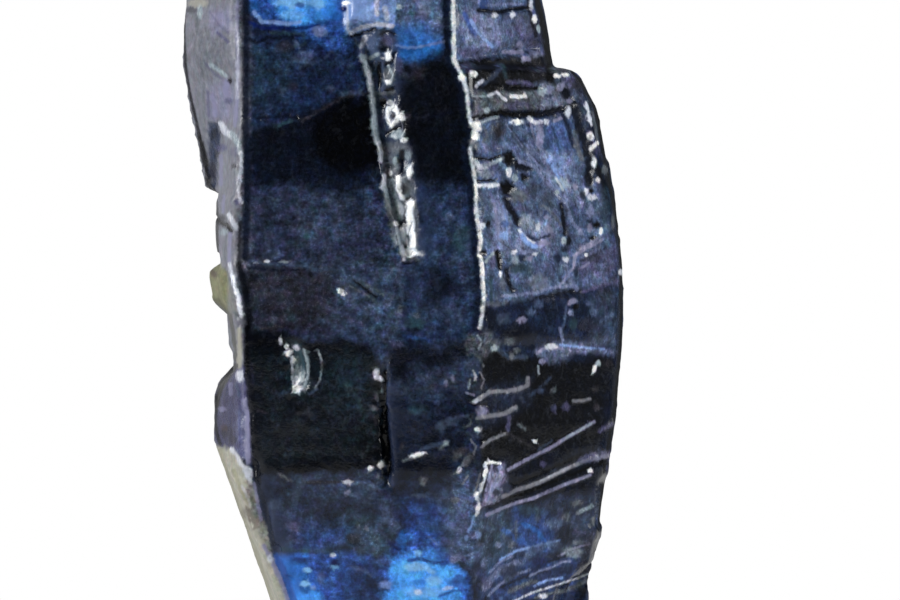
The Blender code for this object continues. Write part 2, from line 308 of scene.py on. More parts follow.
@dataclass(frozen=True)
class Mark(ABC):
    """Something painted on the crystal. One with a depth is raised as well, or cut in if it's below zero.

    The path of an area or a line gives across and down in turn, in the sheet's squares.
    """

    tint: Tint
    side: Side = field(default=Side.NEAR, kw_only=True)
    depth: float = field(default=0.0, kw_only=True)

    @property
    def life(self) -> float:
        """How lively its mottling is: a pale mark stays plain."""
        return 0.2 if self.tint.pale else 0.5

    @property
    def fine(self) -> bool:
        """Whether it needs the finest mesh under it."""
        return self.tint.pale

    @property
    def outline(self) -> tuple:
        """Its path's points, each across and down."""
        return tuple(zip(self.path[0::2], self.path[1::2]))

    @abstractmethod
    def margin(self) -> float:
        """How far it can reach past its outline, in squares."""

    @abstractmethod
    def cover(self, spots: np.ndarray, push: np.ndarray) -> np.ndarray:
        """Says how far it covers each spot.

        Args:
            spots: Places on the sheet.
            push: An uneven push for each, which makes the mark ragged.

        Returns:
            A share from 0 to 1 for each spot.
        """

    @abstractmethod
    def near(self, spots: np.ndarray, extra: float) -> np.ndarray:
        """Says which spots lie within extra squares of where its colour changes."""

    def around(self, spots: np.ndarray) -> np.ndarray:
        """Says which spots lie in the box round it, so that only those have to be measured."""
        corners, margin = np.array(self.outline, float), self.margin()
        return np.all((spots > corners.min(axis=0) - margin) & (spots < corners.max(axis=0) + margin), axis=1)

    def find(self, spots: np.ndarray, push: np.ndarray, flat_way: np.ndarray) -> tuple[np.ndarray, np.ndarray]:
        """Finds the points that it covers.

        Args:
            spots: The points' places on the sheet.
            push: Their uneven pushes.
            flat_way: Their normals, evened out.

        Returns:
            The covered points' numbers, and how far each is covered.
        """
        found = np.flatnonzero(self.around(spots))
        share = self.side.share(flat_way[found])
        found, share = found[share > 0.0], share[share > 0.0]
        return found, share * self.cover(spots[found], push[found])


@dataclass(frozen=True)
class Area(Mark):
    """An area inside an outline, as wide as a part of a face."""

    path: tuple
    share: float = 1.0
    soft: float = 6.0
    ragged: float = 6.0
    side: Side = field(default=Side.FRONT, kw_only=True)

    @property
    def life(self) -> float:
        """How lively its mottling is: the clear blue places, painted with a glow of light, are calmer."""
        return 0.45 if self.tint in CLEAR_BLUE_GLOWS else 1.0

    @property
    def fine(self) -> bool:
        """It's soft, so it never needs the finest mesh."""
        return False

    @property
    def ring(self) -> tuple:
        """Its outline, closed."""
        return (*self.outline, self.outline[0])

    def margin(self) -> float:
        """How far it can reach past its outline."""
        return self.soft + self.ragged

    def cover(self, spots: np.ndarray, push: np.ndarray) -> np.ndarray:
        """Says how far it covers each spot: in full inside, and less and less across its soft rim.

        Args:
            spots: Places on the sheet.
            push: An uneven push for each.

        Returns:
            A share from 0 to 1 for each spot.
        """
        here = spots + push * self.ragged
        away, _ = distance_to(self.ring, here)
        within = np.zeros(len(here), bool)
        for (x0, y0), (x1, y1) in zip(self.ring, self.ring[1:]):
            between = (y0 > here[:, 1]) != (y1 > here[:, 1])
            if y0 != y1:
                within ^= between & (here[:, 0] < (x1 - x0) * (here[:, 1] - y0) / (y1 - y0) + x0)
        return smooth(-self.soft, self.soft, np.where(within, away, -away))

    def near(self, spots: np.ndarray, extra: float) -> np.ndarray:
        """Says which spots lie within extra squares of its soft rim."""
        return distance_to(self.ring, spots)[0] < self.soft + extra


@dataclass(frozen=True)
class Line(Mark):
    """A line: a crack, a scratch, a worn edge or a chain of flakes."""

    path: tuple
    width: float
    share: float = 1.0
    ragged: float = field(default=0.18, kw_only=True)
    beads: float = field(default=0.0, kw_only=True)
    core: ClassVar[float] = 0.62
    fade: ClassVar[tuple] = (1.15, 0.4)
    bead_length: ClassVar[float] = 9.0
    bead_fade: ClassVar[tuple] = (0.15, -0.25)

    def margin(self) -> float:
        """How far it can reach past its path."""
        return self.width * 2.0

    def cover(self, spots: np.ndarray, push: np.ndarray) -> np.ndarray:
        """Says how far it covers each spot: one with beads comes and goes along its path.

        Args:
            spots: Places on the sheet.
            push: An uneven push for each.

        Returns:
            A share from 0 to 1 for each spot.
        """
        away, along = distance_to(self.outline, spots + push * self.ragged * self.width)
        found = smooth(*self.fade, away / (self.width * self.core * (1.0 + self.ragged * push[:, 0])))
        if self.beads:
            beat = np.stack((along / self.bead_length, np.full(len(along), self.width), along * 0), axis=1)
            found *= 1.0 - self.beads * smooth(*self.bead_fade, Noise(Seed.BEADS).at(beat))
        return found

    def near(self, spots: np.ndarray, extra: float) -> np.ndarray:
        """Says which spots lie on it or within extra squares of it."""
        return distance_to(self.outline, spots)[0] < self.width / 2 + extra


@dataclass(frozen=True)
class Spot(Mark):
    """An uneven round spot: its centre, how far it reaches each way, and its turn in degrees."""

    centre: tuple
    reach: tuple
    share: float = 1.0
    turn: float = field(default=0.0, kw_only=True)
    soft: float = field(default=0.35, kw_only=True)
    ragged: float = field(default=0.45, kw_only=True)

    @property
    def outline(self) -> tuple:
        """Its only point."""
        return (self.centre,)

    def margin(self) -> float:
        """How far it can reach past its centre."""
        return max(self.reach) * 1.7

    def cover(self, spots: np.ndarray, push: np.ndarray) -> np.ndarray:
        """Says how far it covers each spot.

        Args:
            spots: Places on the sheet.
            push: An uneven push for each.

        Returns:
            A share from 0 to 1 for each spot.
        """
        out = self.away(spots + push * self.ragged * min(self.reach), 0.0)
        return smooth(1.0 + self.soft, 1.0 - self.soft, out)

    def away(self, spots: np.ndarray, extra: float) -> np.ndarray:
        """Measures how far spots lie from its centre.

        Args:
            spots: Places on the sheet.
            extra: How many squares to widen it by.

        Returns:
            One value for each spot, 1 on the widened rim.
        """
        turn = math.radians(self.turn)
        offset = spots - np.array(self.centre)
        across = offset @ np.array((math.cos(turn), math.sin(turn))) / (self.reach[0] + extra)
        down = offset @ np.array((-math.sin(turn), math.cos(turn))) / (self.reach[1] + extra)
        return np.hypot(across, down)

    def near(self, spots: np.ndarray, extra: float) -> np.ndarray:
        """Says which spots lie on it or within extra squares of it."""
        return self.away(spots, extra) < 1.0


# ---- Marks ----

LEFT, _, RIGHT, RIM, NEAR = Side
(BLACK, INK, NIGHT, NAVY, DUSK, SMOKE, TEAL, SLATE, STEEL, VIOLET, HAZE, LILAC, FROST, ASH, GLASS, GLINT_PEARL, WHITE,
 ABYSS, COBALT, OCEAN, AZURE_GLOW, SKY_GLOW, BLOOM, KHAKI, OLIVE, BEIGE, BROWN) = Tint

# Broad areas of the front, top to bottom.
FRONT_AREAS = (
    Area(DUSK, (230, -90, 484, -90, 484, 720, 230, 720), soft=4),
    Area(NAVY, (236, -90, 400, -90, 372, 60, 372, 88, 350, 98, 332, 102, 312, 118, 285, 122,
        240, 125), soft=5),
    Area(TEAL, (248, 46, 296, 50, 290, 100, 250, 112), 0.3, soft=9),
    # The clear top, painted with a glow of light shining through it.
    Area(COBALT, (300, -20, 352, -20, 352, 30, 345, 48, 322, 52, 306, 34), 0.75, soft=9),
    Area(COBALT, (247, -90, 346, -90, 347, 10, 338, 22, 322, 27, 284, 26, 266, 24, 256, 16,
        247, -4), soft=3, ragged=4),
    Area(AZURE_GLOW, (280, -90, 338, -90, 336, 4, 322, 20, 298, 23, 278, 14, 272, -4), 0.9, soft=7),
    Area(NIGHT, (240, 127, 285, 124, 330, 103, 372, 92, 378, 130, 384, 186, 352, 194, 300, 186,
        240, 182), soft=5),
    Area(BLACK, (306, 120, 332, 103, 350, 98, 372, 92, 378, 130, 384, 168, 352, 176, 326, 166,
        312, 146), soft=9, ragged=5),
    Area(INK, (250, 128, 310, 120, 330, 180, 262, 178), 0.6, soft=12),
    Area(DUSK, (236, 194, 300, 199, 345, 200, 384, 212, 398, 264, 236, 263), 0.85, soft=10),
    Area(SLATE, (292, 206, 345, 204, 342, 240, 300, 246), 0.6, soft=9),
    Area(NIGHT, (236, 265, 330, 267, 326, 332, 236, 330), 0.5, soft=9, ragged=4),
    Area(SMOKE, (236, 266, 330, 267, 334, 332, 236, 332), 0.5, soft=9, ragged=4),
    Area(SMOKE, (236, 194, 380, 200, 398, 330, 236, 330), 0.16, soft=8, ragged=8),
    Area(SLATE, (336, 268, 400, 262, 402, 335, 345, 332), 0.7, soft=9),
    Area(INK, (244, 331, 284, 331, 300, 342, 330, 338, 372, 346, 384, 380, 388, 464, 345, 477,
        252, 474), soft=3, ragged=3),
    Area(BLACK, (250, 334, 280, 334, 282, 372, 252, 376), 0.7, soft=8),
    Area(BLACK, (300, 440, 384, 420, 386, 466, 345, 474, 262, 472), 0.6, soft=9),
    Area(SMOKE, (256, 384, 376, 368, 384, 462, 258, 466), 0.12, soft=10, ragged=10),
    Area(TEAL, (250, 350, 376, 356, 384, 462, 258, 466), 0.09, soft=10, ragged=10),
    Area(TEAL, (320, 352, 372, 356, 376, 420, 330, 414), 0.16, soft=10, ragged=10),
    Area(DUSK, (254, 476, 386, 474, 398, 500, 398, 552, 274, 552, 262, 520), soft=3, ragged=4),
    Area(NIGHT, (262, 478, 300, 480, 300, 500, 345, 502, 385, 505, 384, 518, 330, 520,
        262, 505), 0.6, soft=8),
    Area(TEAL, (330, 518, 392, 520, 394, 552, 330, 552), 0.5, soft=8),
    Area(COBALT, (300, 528, 336, 524, 350, 536, 334, 551, 296, 550), 0.4, soft=8, ragged=8),
    Area(STEEL, (352, 530, 384, 526, 388, 548, 356, 550), 0.45, soft=7, ragged=8),
    # The clear bottom, painted with a glow of light shining through it.
    Area(COBALT, (276, 554, 345, 553, 378, 560, 384, 575, 378, 610, 378, 720, 290, 720), soft=2.5, ragged=4),
    Area(OCEAN, (278, 556, 303, 558, 322, 596, 330, 720, 290, 720), 0.8, soft=7),
    Area(NAVY, (346, 562, 384, 560, 380, 700, 340, 720), 0.75, soft=8),
    # the column on its right
    Area(STEEL, (396, -90, 444, -90, 444, 44, 398, 48), soft=4, ragged=4),
    Area(OCEAN, (396, 24, 426, 28, 446, 44, 430, 60, 398, 62), 0.75, soft=10),
    Area(INK, (400, 88, 424, 62, 446, 48, 458, 70, 470, 100, 474, 186, 416, 188, 398, 130), soft=8),
    Area(NAVY, (414, 190, 476, 184, 482, 264, 478, 330, 404, 345, 402, 262), soft=8),
    Area(STEEL, (418, 196, 470, 190, 476, 264, 470, 326, 412, 336, 408, 262), 0.24, soft=8, ragged=8),
    Area(INK, (426, 276, 456, 276, 452, 302, 424, 310), 0.8, soft=8),
    Area(INK, (388, 346, 476, 340, 470, 372, 388, 380), 0.9, soft=8),
    Area(DUSK, (412, 368, 462, 364, 462, 396, 414, 398), 0.9, soft=8),
    Area(NIGHT, (390, 398, 470, 398, 474, 500, 392, 500), 0.85, soft=9),
    Area(BLACK, (400, 462, 455, 458, 450, 476, 402, 478), 0.7, soft=8),
    Area(NAVY, (396, 500, 474, 492, 474, 560, 400, 560), soft=8),
    Area(COBALT, (404, 506, 432, 500, 446, 520, 438, 546, 410, 548), 0.45, soft=8, ragged=8),
    Area(STEEL, (436, 496, 456, 492, 462, 536, 446, 552), 0.5, soft=7, ragged=8),
    Spot(INK, (421, 503), (9, 5), 0.6, turn=20, soft=0.5),
    Spot(INK, (440, 548), (9, 5), 0.5, turn=-30, soft=0.5), Spot(INK, (402, 520), (4, 9), 0.5, soft=0.5),
    Spot(TEAL, (428, 530), (8, 6), 0.6, turn=30, soft=0.5),
    Area(STEEL, (452, 476, 480, 472, 484, 566, 454, 560), 0.75),
    # The clear bottom of the column, painted with a glow of light shining through it.
    Area(COBALT, (398, 536, 412, 524, 430, 532, 450, 552, 468, 580, 500, 720, 380, 720, 384, 585,
        377, 560), 0.9, soft=5, ragged=4),
    Area(AZURE_GLOW, (400, 552, 436, 552, 462, 572, 464, 600, 462, 720, 384, 720, 388, 586, 394, 564), ragged=5),
)

# Broad areas of the right side and the left side.
SIDE_AREAS = (
    Area(STEEL, (452, -90, 540, -90, 552, 58, 454, 60), soft=3, ragged=3, side=RIGHT),
    Area(VIOLET, (508, 18, 548, 14, 550, 56, 512, 50), 0.7, soft=8, side=RIGHT),
    Area(HAZE, (460, 14, 470, 10, 502, 24, 504, 44, 484, 50, 462, 36), 0.75, side=RIGHT),
    # A dark band over the step under the upper block: a dark break, and painted shade on the step.
    Area(INK, (456, 62, 480, 58, 500, 57, 556, 56, 556, 84, 500, 91, 466, 90), soft=3, ragged=3, side=RIGHT),
    Area(ASH, (466, 93, 500, 91, 540, 87, 552, 84, 566, 84, 566, 108, 500, 111,
        470, 118), 0.72, soft=3, ragged=3, side=RIGHT),
    Area(HAZE, (538, 88, 570, 82, 572, 106, 540, 108), 0.45, soft=5, side=RIGHT),
    Area(STEEL, (474, 120, 575, 116, 592, 165, 605, 200, 615, 240, 622, 284, 545, 294, 500, 306, 484, 302,
        476, 160), soft=4, ragged=3, side=RIGHT),
    Area(COBALT, (544, 124, 566, 122, 584, 148, 550, 152), 0.35, side=RIGHT),
    Area(HAZE, (490, 198, 508, 200, 512, 252, 494, 250), 0.8, side=RIGHT),
    Area(HAZE, (542, 150, 572, 154, 584, 190, 582, 206, 562, 200, 540, 172), 0.75, side=RIGHT),
    Area(HAZE, (516, 216, 552, 214, 554, 250, 520, 256), 0.7, side=RIGHT),
    Area(VIOLET, (584, 250, 620, 244, 620, 284, 582, 284), 0.7, side=RIGHT),
    Area(NAVY, (486, 309, 530, 299, 575, 293, 622, 286, 624, 350, 545, 345, 500, 352,
        482, 345), soft=3, ragged=3, side=RIGHT),
    Area(SLATE, (596, 292, 624, 290, 624, 356, 590, 350), 0.8, side=RIGHT),
    Area(INK, (478, 354, 535, 356, 560, 366, 622, 352, 616, 446, 560, 458, 500, 470, 480, 466), side=RIGHT),
    Area(DUSK, (480, 384, 532, 378, 532, 402, 512, 420, 480, 426), 0.55, side=RIGHT),
    Area(NIGHT, (482, 462, 606, 440, 604, 500, 486, 520), soft=5, side=RIGHT),
    Area(LILAC, (485, 472, 502, 466, 506, 478, 498, 500, 484, 508), 0.85, soft=4, side=RIGHT),
    Area(DUSK, (482, 512, 560, 498, 606, 490, 600, 580, 570, 720, 482, 720), soft=4, side=RIGHT),
    Area(STEEL, (478, 514, 500, 508, 524, 552, 510, 560, 484, 570), 0.5, soft=7, side=RIGHT),
    Area(COBALT, (516, 506, 552, 512, 552, 548, 518, 552), 0.5, soft=8, side=RIGHT),
    Area(TEAL, (484, 520, 512, 512, 516, 560, 484, 572), 0.5, soft=8, side=RIGHT),
    Area(SLATE, (560, 520, 600, 512, 594, 560, 560, 562), 0.55, soft=8, side=RIGHT),
    Area(COBALT, (484, 560, 520, 560, 580, 556, 580, 610, 484, 610), 0.25, soft=8, side=RIGHT),
    # Painted shade on the narrow outer edge, which is seen edge-on.
    Area(NAVY, (530, -90, 660, -90, 660, 720, 530, 720), 0.4, soft=3, ragged=2, side=RIM),
    Area(FROST, (170, -90, 250, -90, 250, 268, 170, 268), soft=4, ragged=3, side=LEFT),
    Area(LILAC, (210, 8, 236, 6, 236, 34, 212, 34), 0.6, side=LEFT),
    Area(LILAC, (206, 84, 236, 80, 236, 118, 208, 120), 0.5, side=LEFT),
    Area(ASH, (196, 36, 224, 40, 226, 74, 198, 80), 0.45, soft=8, side=LEFT),
    Area(KHAKI, (204, 272, 218, 262, 227, 272, 232, 292, 238, 318, 228, 313,
        208, 298), 0.95, soft=2, ragged=2, side=LEFT),
    Area(FROST, (228, 268, 244, 262, 246, 380, 228, 380), 0.7, soft=3, ragged=2, side=LEFT),
    Area(VIOLET, (206, 366, 252, 366, 252, 462, 240, 458, 218, 446, 206, 430), soft=3, ragged=2, side=LEFT),
    Area(SMOKE, (206, 366, 236, 366, 240, 410, 236, 458, 218, 446, 206, 430), 0.45, ragged=2, side=LEFT),
    Area(BEIGE, (214, 446, 232, 449, 246, 466, 258, 500, 272, 552, 290, 610, 330, 720, 240, 720,
        226, 475), soft=2, ragged=2, side=LEFT),
)

# Lines and spots of the front.
FRONT_LINES = (
    # The clear top, with a painted glow of light shining through it.
    Spot(SKY_GLOW, (292, 2), (17, 6), 0.85), Spot(SKY_GLOW, (317, 3), (8, 6), 0.8), Spot(SKY_GLOW, (292, 15), (12, 5), 0.5),
    Spot(OCEAN, (332, 14), (10, 6), 0.6, turn=10), Spot(COBALT, (300, 5), (5, 3), 0.8),
    Spot(ABYSS, (322, 24), (8, 4), 0.7), Spot(OCEAN, (252, 4), (6, 10), 0.5),
    Line(BLOOM, (254, 12, 262, 22, 275, 22, 288, 24, 300, 22), 4, 0.8),
    Line(ABYSS, (250, 22, 262, 28, 278, 28, 300, 28, 318, 25), 4, 0.9, depth=-0.06),
    Line(BLACK, (248, 41, 262, 40, 275, 37, 304, 36), 3.5, 0.7, depth=-0.04, ragged=0.6),
    Line(TEAL, (270, 33, 290, 33, 304, 34, 306, 44, 294, 47), 2.6, 0.6, depth=0.03, ragged=0.6),
    Line(STEEL, (296, 42, 300, 52, 312, 56), 2.6, 0.5, ragged=0.6), Spot(STEEL, (303, 58), (12, 6), 0.65),
    Spot(HAZE, (320, 32), (7, 5), 0.6), Spot(SMOKE, (285, 46), (8, 6), 0.6),
    Spot(SMOKE, (293, 86), (6, 4), 0.5), Spot(SLATE, (283, 91), (4, 4), 0.9),
    Spot(SLATE, (330, 88), (4, 3), 0.7), Line(SLATE, (300, 66, 318, 62, 332, 52), 3, 0.5, ragged=0.6),
    Line(BLACK, (258, 118, 280, 116, 298, 118), 3, 0.6, depth=-0.05, ragged=0.5),
    Line(TEAL, (277, 127, 284, 124, 291, 121), 3.2, 0.9),
    Line(SMOKE, (303, 120, 318, 112, 334, 102, 345, 97, 368, 92), 2.6, 0.6, depth=0.04, ragged=0.6),
    Line(SLATE, (342, 94, 360, 92), 4, 0.7), Spot(GLINT_PEARL, (267, 261.5), (3, 1.4)),
    Spot(GLASS, (284, 262), (5, 1.4), 0.8), Spot(GLASS, (257, 262), (4, 1.4), 0.5),
    Line(SLATE, (243, 259, 270, 264, 300, 266, 320, 270, 336, 268), 3, 0.9, depth=0.06, ragged=0.5),
    Line(NIGHT, (248, 268, 280, 270, 304, 269), 3, 0.9, depth=-0.04, ragged=0.4),
    Spot(TEAL, (307, 236), (3, 4)), Spot(VIOLET, (259, 210), (6, 6), 0.5),
    Spot(BLACK, (293, 218), (3, 3), 0.7), Spot(BLACK, (311, 275), (4, 3), 0.8),
    Line(BLACK, (355, 281, 364, 288, 376, 297), 3.4, 0.9, depth=-0.06),
    Line(ASH, (350, 286, 362, 292, 374, 300), 2.4, 0.6, ragged=0.2),
    Line(STEEL, (334, 292, 352, 304, 372, 318, 388, 330), 2.6, 0.5, ragged=0.2, beads=0.5),
    Line(VIOLET, (326, 306, 344, 316, 362, 324), 3, 0.45, ragged=0.2, beads=0.5),
    Line(SLATE, (318, 318, 336, 326, 350, 332), 3, 0.5, ragged=0.2),
    Line(STEEL, (352, 294, 366, 303, 384, 314), 2, 0.5, ragged=0.2, beads=0.5),
    Line(ASH, (365, 282, 372, 288, 384, 295), 2.4, 0.55, ragged=0.5),
    Spot(WHITE, (341.5, 292), (4.6, 2.4), turn=45, depth=0.05),
    Line(SMOKE, (262, 329, 276, 327, 284, 326), 2.6, 0.9, depth=0.05, ragged=0.5),
    Line(SLATE, (306, 330, 320, 322, 340, 326), 2.6, 0.5, ragged=0.6), Spot(TEAL, (292, 318), (4, 4), 0.5),
    # the glassy chip low on the left
    Spot(TEAL, (298, 368), (9, 25), 0.95, turn=-8, depth=-0.16), Spot(ASH, (299, 374), (6, 17), 0.8, turn=-6),
    Line(NIGHT, (293, 356, 296, 366, 297, 378), 3.2, 0.8), Line(TEAL, (300, 352, 303, 364, 303, 376), 4, 0.8),
    Spot(GLINT_PEARL, (280.5, 341), (1.8, 3.6), 0.8), Spot(WHITE, (287, 346), (2, 2.4)),
    Spot(WHITE, (289, 353), (3.4, 3.4), turn=-20, depth=0.04),
    Spot(GLINT_PEARL, (296, 348), (3.4, 2.6), 0.8, turn=20),
    Spot(WHITE, (293, 360), (2.6, 3.6), turn=-10, depth=0.04),
    Line(GLINT_PEARL, (291, 358, 292.5, 370, 293, 380, 295, 388), 2.6, 0.9),
    Spot(GLASS, (299, 374), (4.6, 12), 0.7, turn=-6), Spot(TEAL, (301, 366), (2.2, 8), 0.8, turn=-6),
    Spot(GLINT_PEARL, (297, 381), (3, 6), 0.8, turn=-8), Spot(WHITE, (298.5, 388), (5, 4.6), depth=0.05),
    Line(GLASS, (304, 350, 308, 362, 308, 376, 304, 387), 2.8, 0.8), Spot(TEAL, (300, 384), (2.4, 2), 0.8),
    Line(GLASS, (318, 350, 321, 358, 322, 368, 320, 380, 315, 388), 1.8, 0.6, ragged=0.2, beads=0.5),
    Line(SLATE, (310, 394, 316, 389), 3, 0.7), Spot(ASH, (382, 391), (1.6, 2.2), 0.6),
    Spot(ASH, (374, 407), (2, 2), 0.5), Spot(STEEL, (437, 402), (3, 2), 0.4),
    Spot(SLATE, (413, 430), (3, 2), 0.6, turn=20), Spot(ASH, (442, 447), (4, 1.6), 0.7, turn=-40),
    Spot(SLATE, (452, 421), (9, 4), 0.6, turn=-20), Spot(SMOKE, (460, 452), (7, 4), 0.8, turn=-40),
    Spot(ASH, (478, 429), (3, 2.6), 0.8), Spot(SLATE, (398, 388), (2, 3), 0.5),
    Spot(SMOKE, (432, 386), (3, 2), 0.6), Spot(STEEL, (421, 377), (5, 4), 0.4),
    Spot(TEAL, (418, 409), (8, 5), 0.5), Spot(SMOKE, (402, 446), (2, 4), 0.8),
    Spot(NIGHT, (449, 394), (5, 4), 0.8), Spot(INK, (430, 440), (9, 6), 0.6, turn=-20),
    Line(SMOKE, (258, 410, 266, 413), 3, 0.7), Spot(SMOKE, (304, 413), (8, 4), 0.4),
    # the long broken groove: pale broken facets with painted glints, and a painted blue glow at its top
    Area(BLOOM, (346, -90, 394, -90, 396, 24, 388, 28, 370, 28, 354, 36, 346, 34,
        343, 12), soft=2, ragged=2, side=NEAR),
    Line(GLINT_PEARL, (377, -30, 377, 14), 4.5, 0.75), Line(GLINT_PEARL, (385, 8, 387, 19), 5, 0.6),
    Line(GLINT_PEARL, (350, 33, 362, 27, 378, 24, 392, 26), 4.5, 0.8, depth=0.05),
    Line(GLINT_PEARL, (346, -40, 347, 10, 348, 30), 3, 0.6), Spot(ABYSS, (344, 9), (3.5, 3)),
    Spot(WHITE, (346, 3), (4, 2)), Spot(GLINT_PEARL, (399, 7), (3, 3), 0.6),
    Area(SLATE, (354, 38, 366, 32, 382, 30, 396, 32, 398, 62, 394, 96, 400, 130, 410, 150, 416, 190, 420, 262,
        402, 262, 392, 225, 384, 200, 380, 160, 372, 110, 364, 62), 0.7, soft=2.5, ragged=2, side=NEAR),
    Area(ASH, (380, 150, 396, 156, 412, 172, 418, 215, 418, 260, 402, 262, 395, 232,
        384, 196), 0.75, soft=2, ragged=2, side=NEAR),
    Line(TEAL, (386, 178, 390, 198, 394, 216), 4, 0.6), Line(DUSK, (393, 196, 396, 206), 3, 0.6),
    Line(BLACK, (352, 36, 362, 33, 375, 29), 3.6, depth=-0.15),
    Line(NIGHT, (378, 36, 388, 31, 395, 34), 3.6, depth=-0.12),
    Spot(STEEL, (371, 45), (11, 10), 0.9, depth=0.10, soft=0.6),
    Line(GLINT_PEARL, (365, 38, 361, 46), 5, 0.9, depth=0.04), Line(GLASS, (361, 55, 370, 58, 378, 54), 3.6, 0.8),
    Spot(VIOLET, (388, 41), (6, 6), 0.8, depth=0.08, soft=0.6),
    Spot(NIGHT, (386, 49), (5, 3), 0.9, depth=-0.08), Spot(WHITE, (388, 56), (3.4, 5.4), depth=0.05),
    Line(NIGHT, (395, 52, 392, 62, 386, 64), 3.4, depth=-0.1),
    Line(GLASS, (363, 58, 367, 68, 370, 80, 372, 95, 374, 115, 375, 130,
        378, 142), 6, depth=0.06, ragged=0.25),
    Line(GLINT_PEARL, (369, 72, 371, 84), 4, 0.8), Line(GLINT_PEARL, (379, 143, 381, 152, 381, 160), 4.6, depth=0.05),
    Line(BLACK, (379, 64, 380, 78, 379, 84), 5, depth=-0.14, ragged=0.3),
    Spot(ASH, (389, 75), (5.5, 9.5), turn=4, depth=0.08),
    Line(GLASS, (388, 66, 393, 75, 390, 84), 2.6, 0.9, ragged=0.2),
    Spot(WHITE, (388, 82), (3.4, 2.4), depth=0.04), Spot(BLACK, (390, 89), (6, 2), turn=-15, depth=-0.12),
    Line(ASH, (376, 93, 384, 94, 394, 92), 4, 0.9, depth=0.04),
    Spot(BLACK, (383, 103), (4.5, 5), depth=-0.14), Line(WHITE, (390, 102, 395, 107), 4.4, depth=0.04),
    Line(WHITE, (388, 108, 386.5, 118, 391, 126, 397, 121, 397, 111, 390, 108), 4.2, depth=0.06, ragged=0.2),
    Spot(SMOKE, (393.5, 116.5), (2.3, 2.8)), Spot(WHITE, (402, 117), (3, 4), depth=0.05),
    Line(BLACK, (388, 133, 397, 128), 4, depth=-0.12),
    Spot(GLASS, (398, 135), (7, 4.6), turn=-10, depth=0.05), Spot(WHITE, (404, 140), (3.4, 2.6), depth=0.04),
    Spot(DUSK, (388, 142), (7, 5)), Spot(ASH, (395, 148), (14, 6), 0.8), Spot(GLASS, (395, 161), (2.6, 4)),
    Spot(GLASS, (408, 155), (4, 5), 0.7), Line(NIGHT, (402, 152, 402, 172, 396, 178), 5, depth=-0.12),
    Spot(WHITE, (409.5, 172), (3.2, 7), depth=0.05), Spot(NIGHT, (390, 166), (5, 3), 0.9, depth=-0.08),
    Spot(WHITE, (391, 173.5), (2.6, 2.4)), Line(GLINT_PEARL, (384, 176, 384, 188), 5, depth=0.05),
    Line(GLASS, (385, 188, 388, 203), 4.4, 0.9), Line(SMOKE, (391, 178, 393, 192), 2.6, 0.8, depth=-0.06),
    Line(WHITE, (398, 177, 399, 190, 403, 198), 5.4, depth=0.06), Spot(ASH, (407, 188), (4.4, 8), 0.7),
    Spot(BLACK, (410, 199), (4, 2), depth=-0.1), Spot(ASH, (394, 210), (7, 10), 0.9),
    Line(WHITE, (410, 203, 409, 214, 411, 222, 410, 232), 7.5, depth=0.06),
    Spot(NIGHT, (403, 223), (3.4, 2.4), depth=-0.1), Spot(WHITE, (395, 224), (3, 2.6)),
    Spot(STEEL, (395, 236), (4, 10), 0.7), Line(WHITE, (402, 229, 404, 238, 410, 246), 4.6, depth=0.04),
    Line(WHITE, (413, 234, 413, 246), 5, depth=0.04), Spot(ASH, (406.5, 240), (2.6, 6), 0.7),
    Spot(WHITE, (410, 253), (7.5, 5), depth=0.05), Line(GLINT_PEARL, (402, 246, 404, 259), 3.6),
    Line(GLASS, (391, 180, 394, 194, 399, 206, 400, 216), 5.4, 0.65),
    Line(ASH, (387, 200, 390, 214, 392, 228, 396, 244), 5, 0.8),
    Spot(GLASS, (399, 238), (4, 10), 0.6, turn=-8), Spot(GLINT_PEARL, (401, 210), (3, 6), 0.5, turn=-8),
    Spot(ASH, (393, 168), (6, 6), 0.5), Spot(TEAL, (392, 206), (2, 3), 0.7),
    Line(SMOKE, (407, 206, 404, 216, 406, 226), 1.8, 0.8),
    Line(TEAL, (412, 222, 408, 236, 409, 246), 1.8, 0.7), Line(SMOKE, (404, 184, 403, 194), 1.8, 0.8),
    Line(NIGHT, (397, 236, 400, 248), 2, 0.8), Line(GLASS, (397, 228, 399, 242, 402, 256), 2.2, 0.8),
    Line(BLACK, (404, 263, 412, 263, 417, 261), 2.4, 0.9, depth=-0.08),
    Line(NIGHT, (419, 214, 422, 222), 3.4, 0.9),
    Line(SLATE, (400, 262, 400, 285, 402, 302), 2.4, 0.9, depth=-0.04), Spot(ASH, (400, 309), (3, 4), 0.8),
    # the column
    Line(NIGHT, (445, -60, 445, 30, 448, 60), 6), Spot(HAZE, (424, 6), (8, 12), 0.5),
    Line(BLOOM, (397, 46, 408, 48, 422, 46), 3, 0.6, ragged=0.4),
    Line(HAZE, (422, 46, 444, 42), 2.6, 0.5, ragged=0.4), Spot(OCEAN, (412, 55), (14, 5), 0.3),
    Spot(SMOKE, (412, 72), (12, 10), 0.5), Spot(BLACK, (407, 69), (3, 5), 0.8),
    Spot(VIOLET, (399, 65), (3, 8), 0.5), Spot(SMOKE, (408, 116), (4, 3), 0.6),
    Spot(TEAL, (462, 240), (9, 16), 0.6, turn=10), Spot(STEEL, (448, 217), (5, 3), 0.6),
    Spot(TEAL, (415, 323), (10, 7), 0.9), Spot(ASH, (416, 316), (4, 2.6), 0.6),
    Spot(NIGHT, (413, 330), (8, 3), 0.9), Spot(VIOLET, (397, 344), (5, 4), 0.8),
    Line(COBALT, (404, 336, 430, 340), 3, 0.3), Spot(STEEL, (455, 320), (10, 12), 0.25),
    Spot(LILAC, (446, 383), (2, 4), 0.5), Spot(LILAC, (453, 379), (2, 4), 0.5),
    Line(SLATE, (438, 424, 452, 419, 468, 416), 3.4, 0.8), Spot(SLATE, (440, 427), (4, 3)),
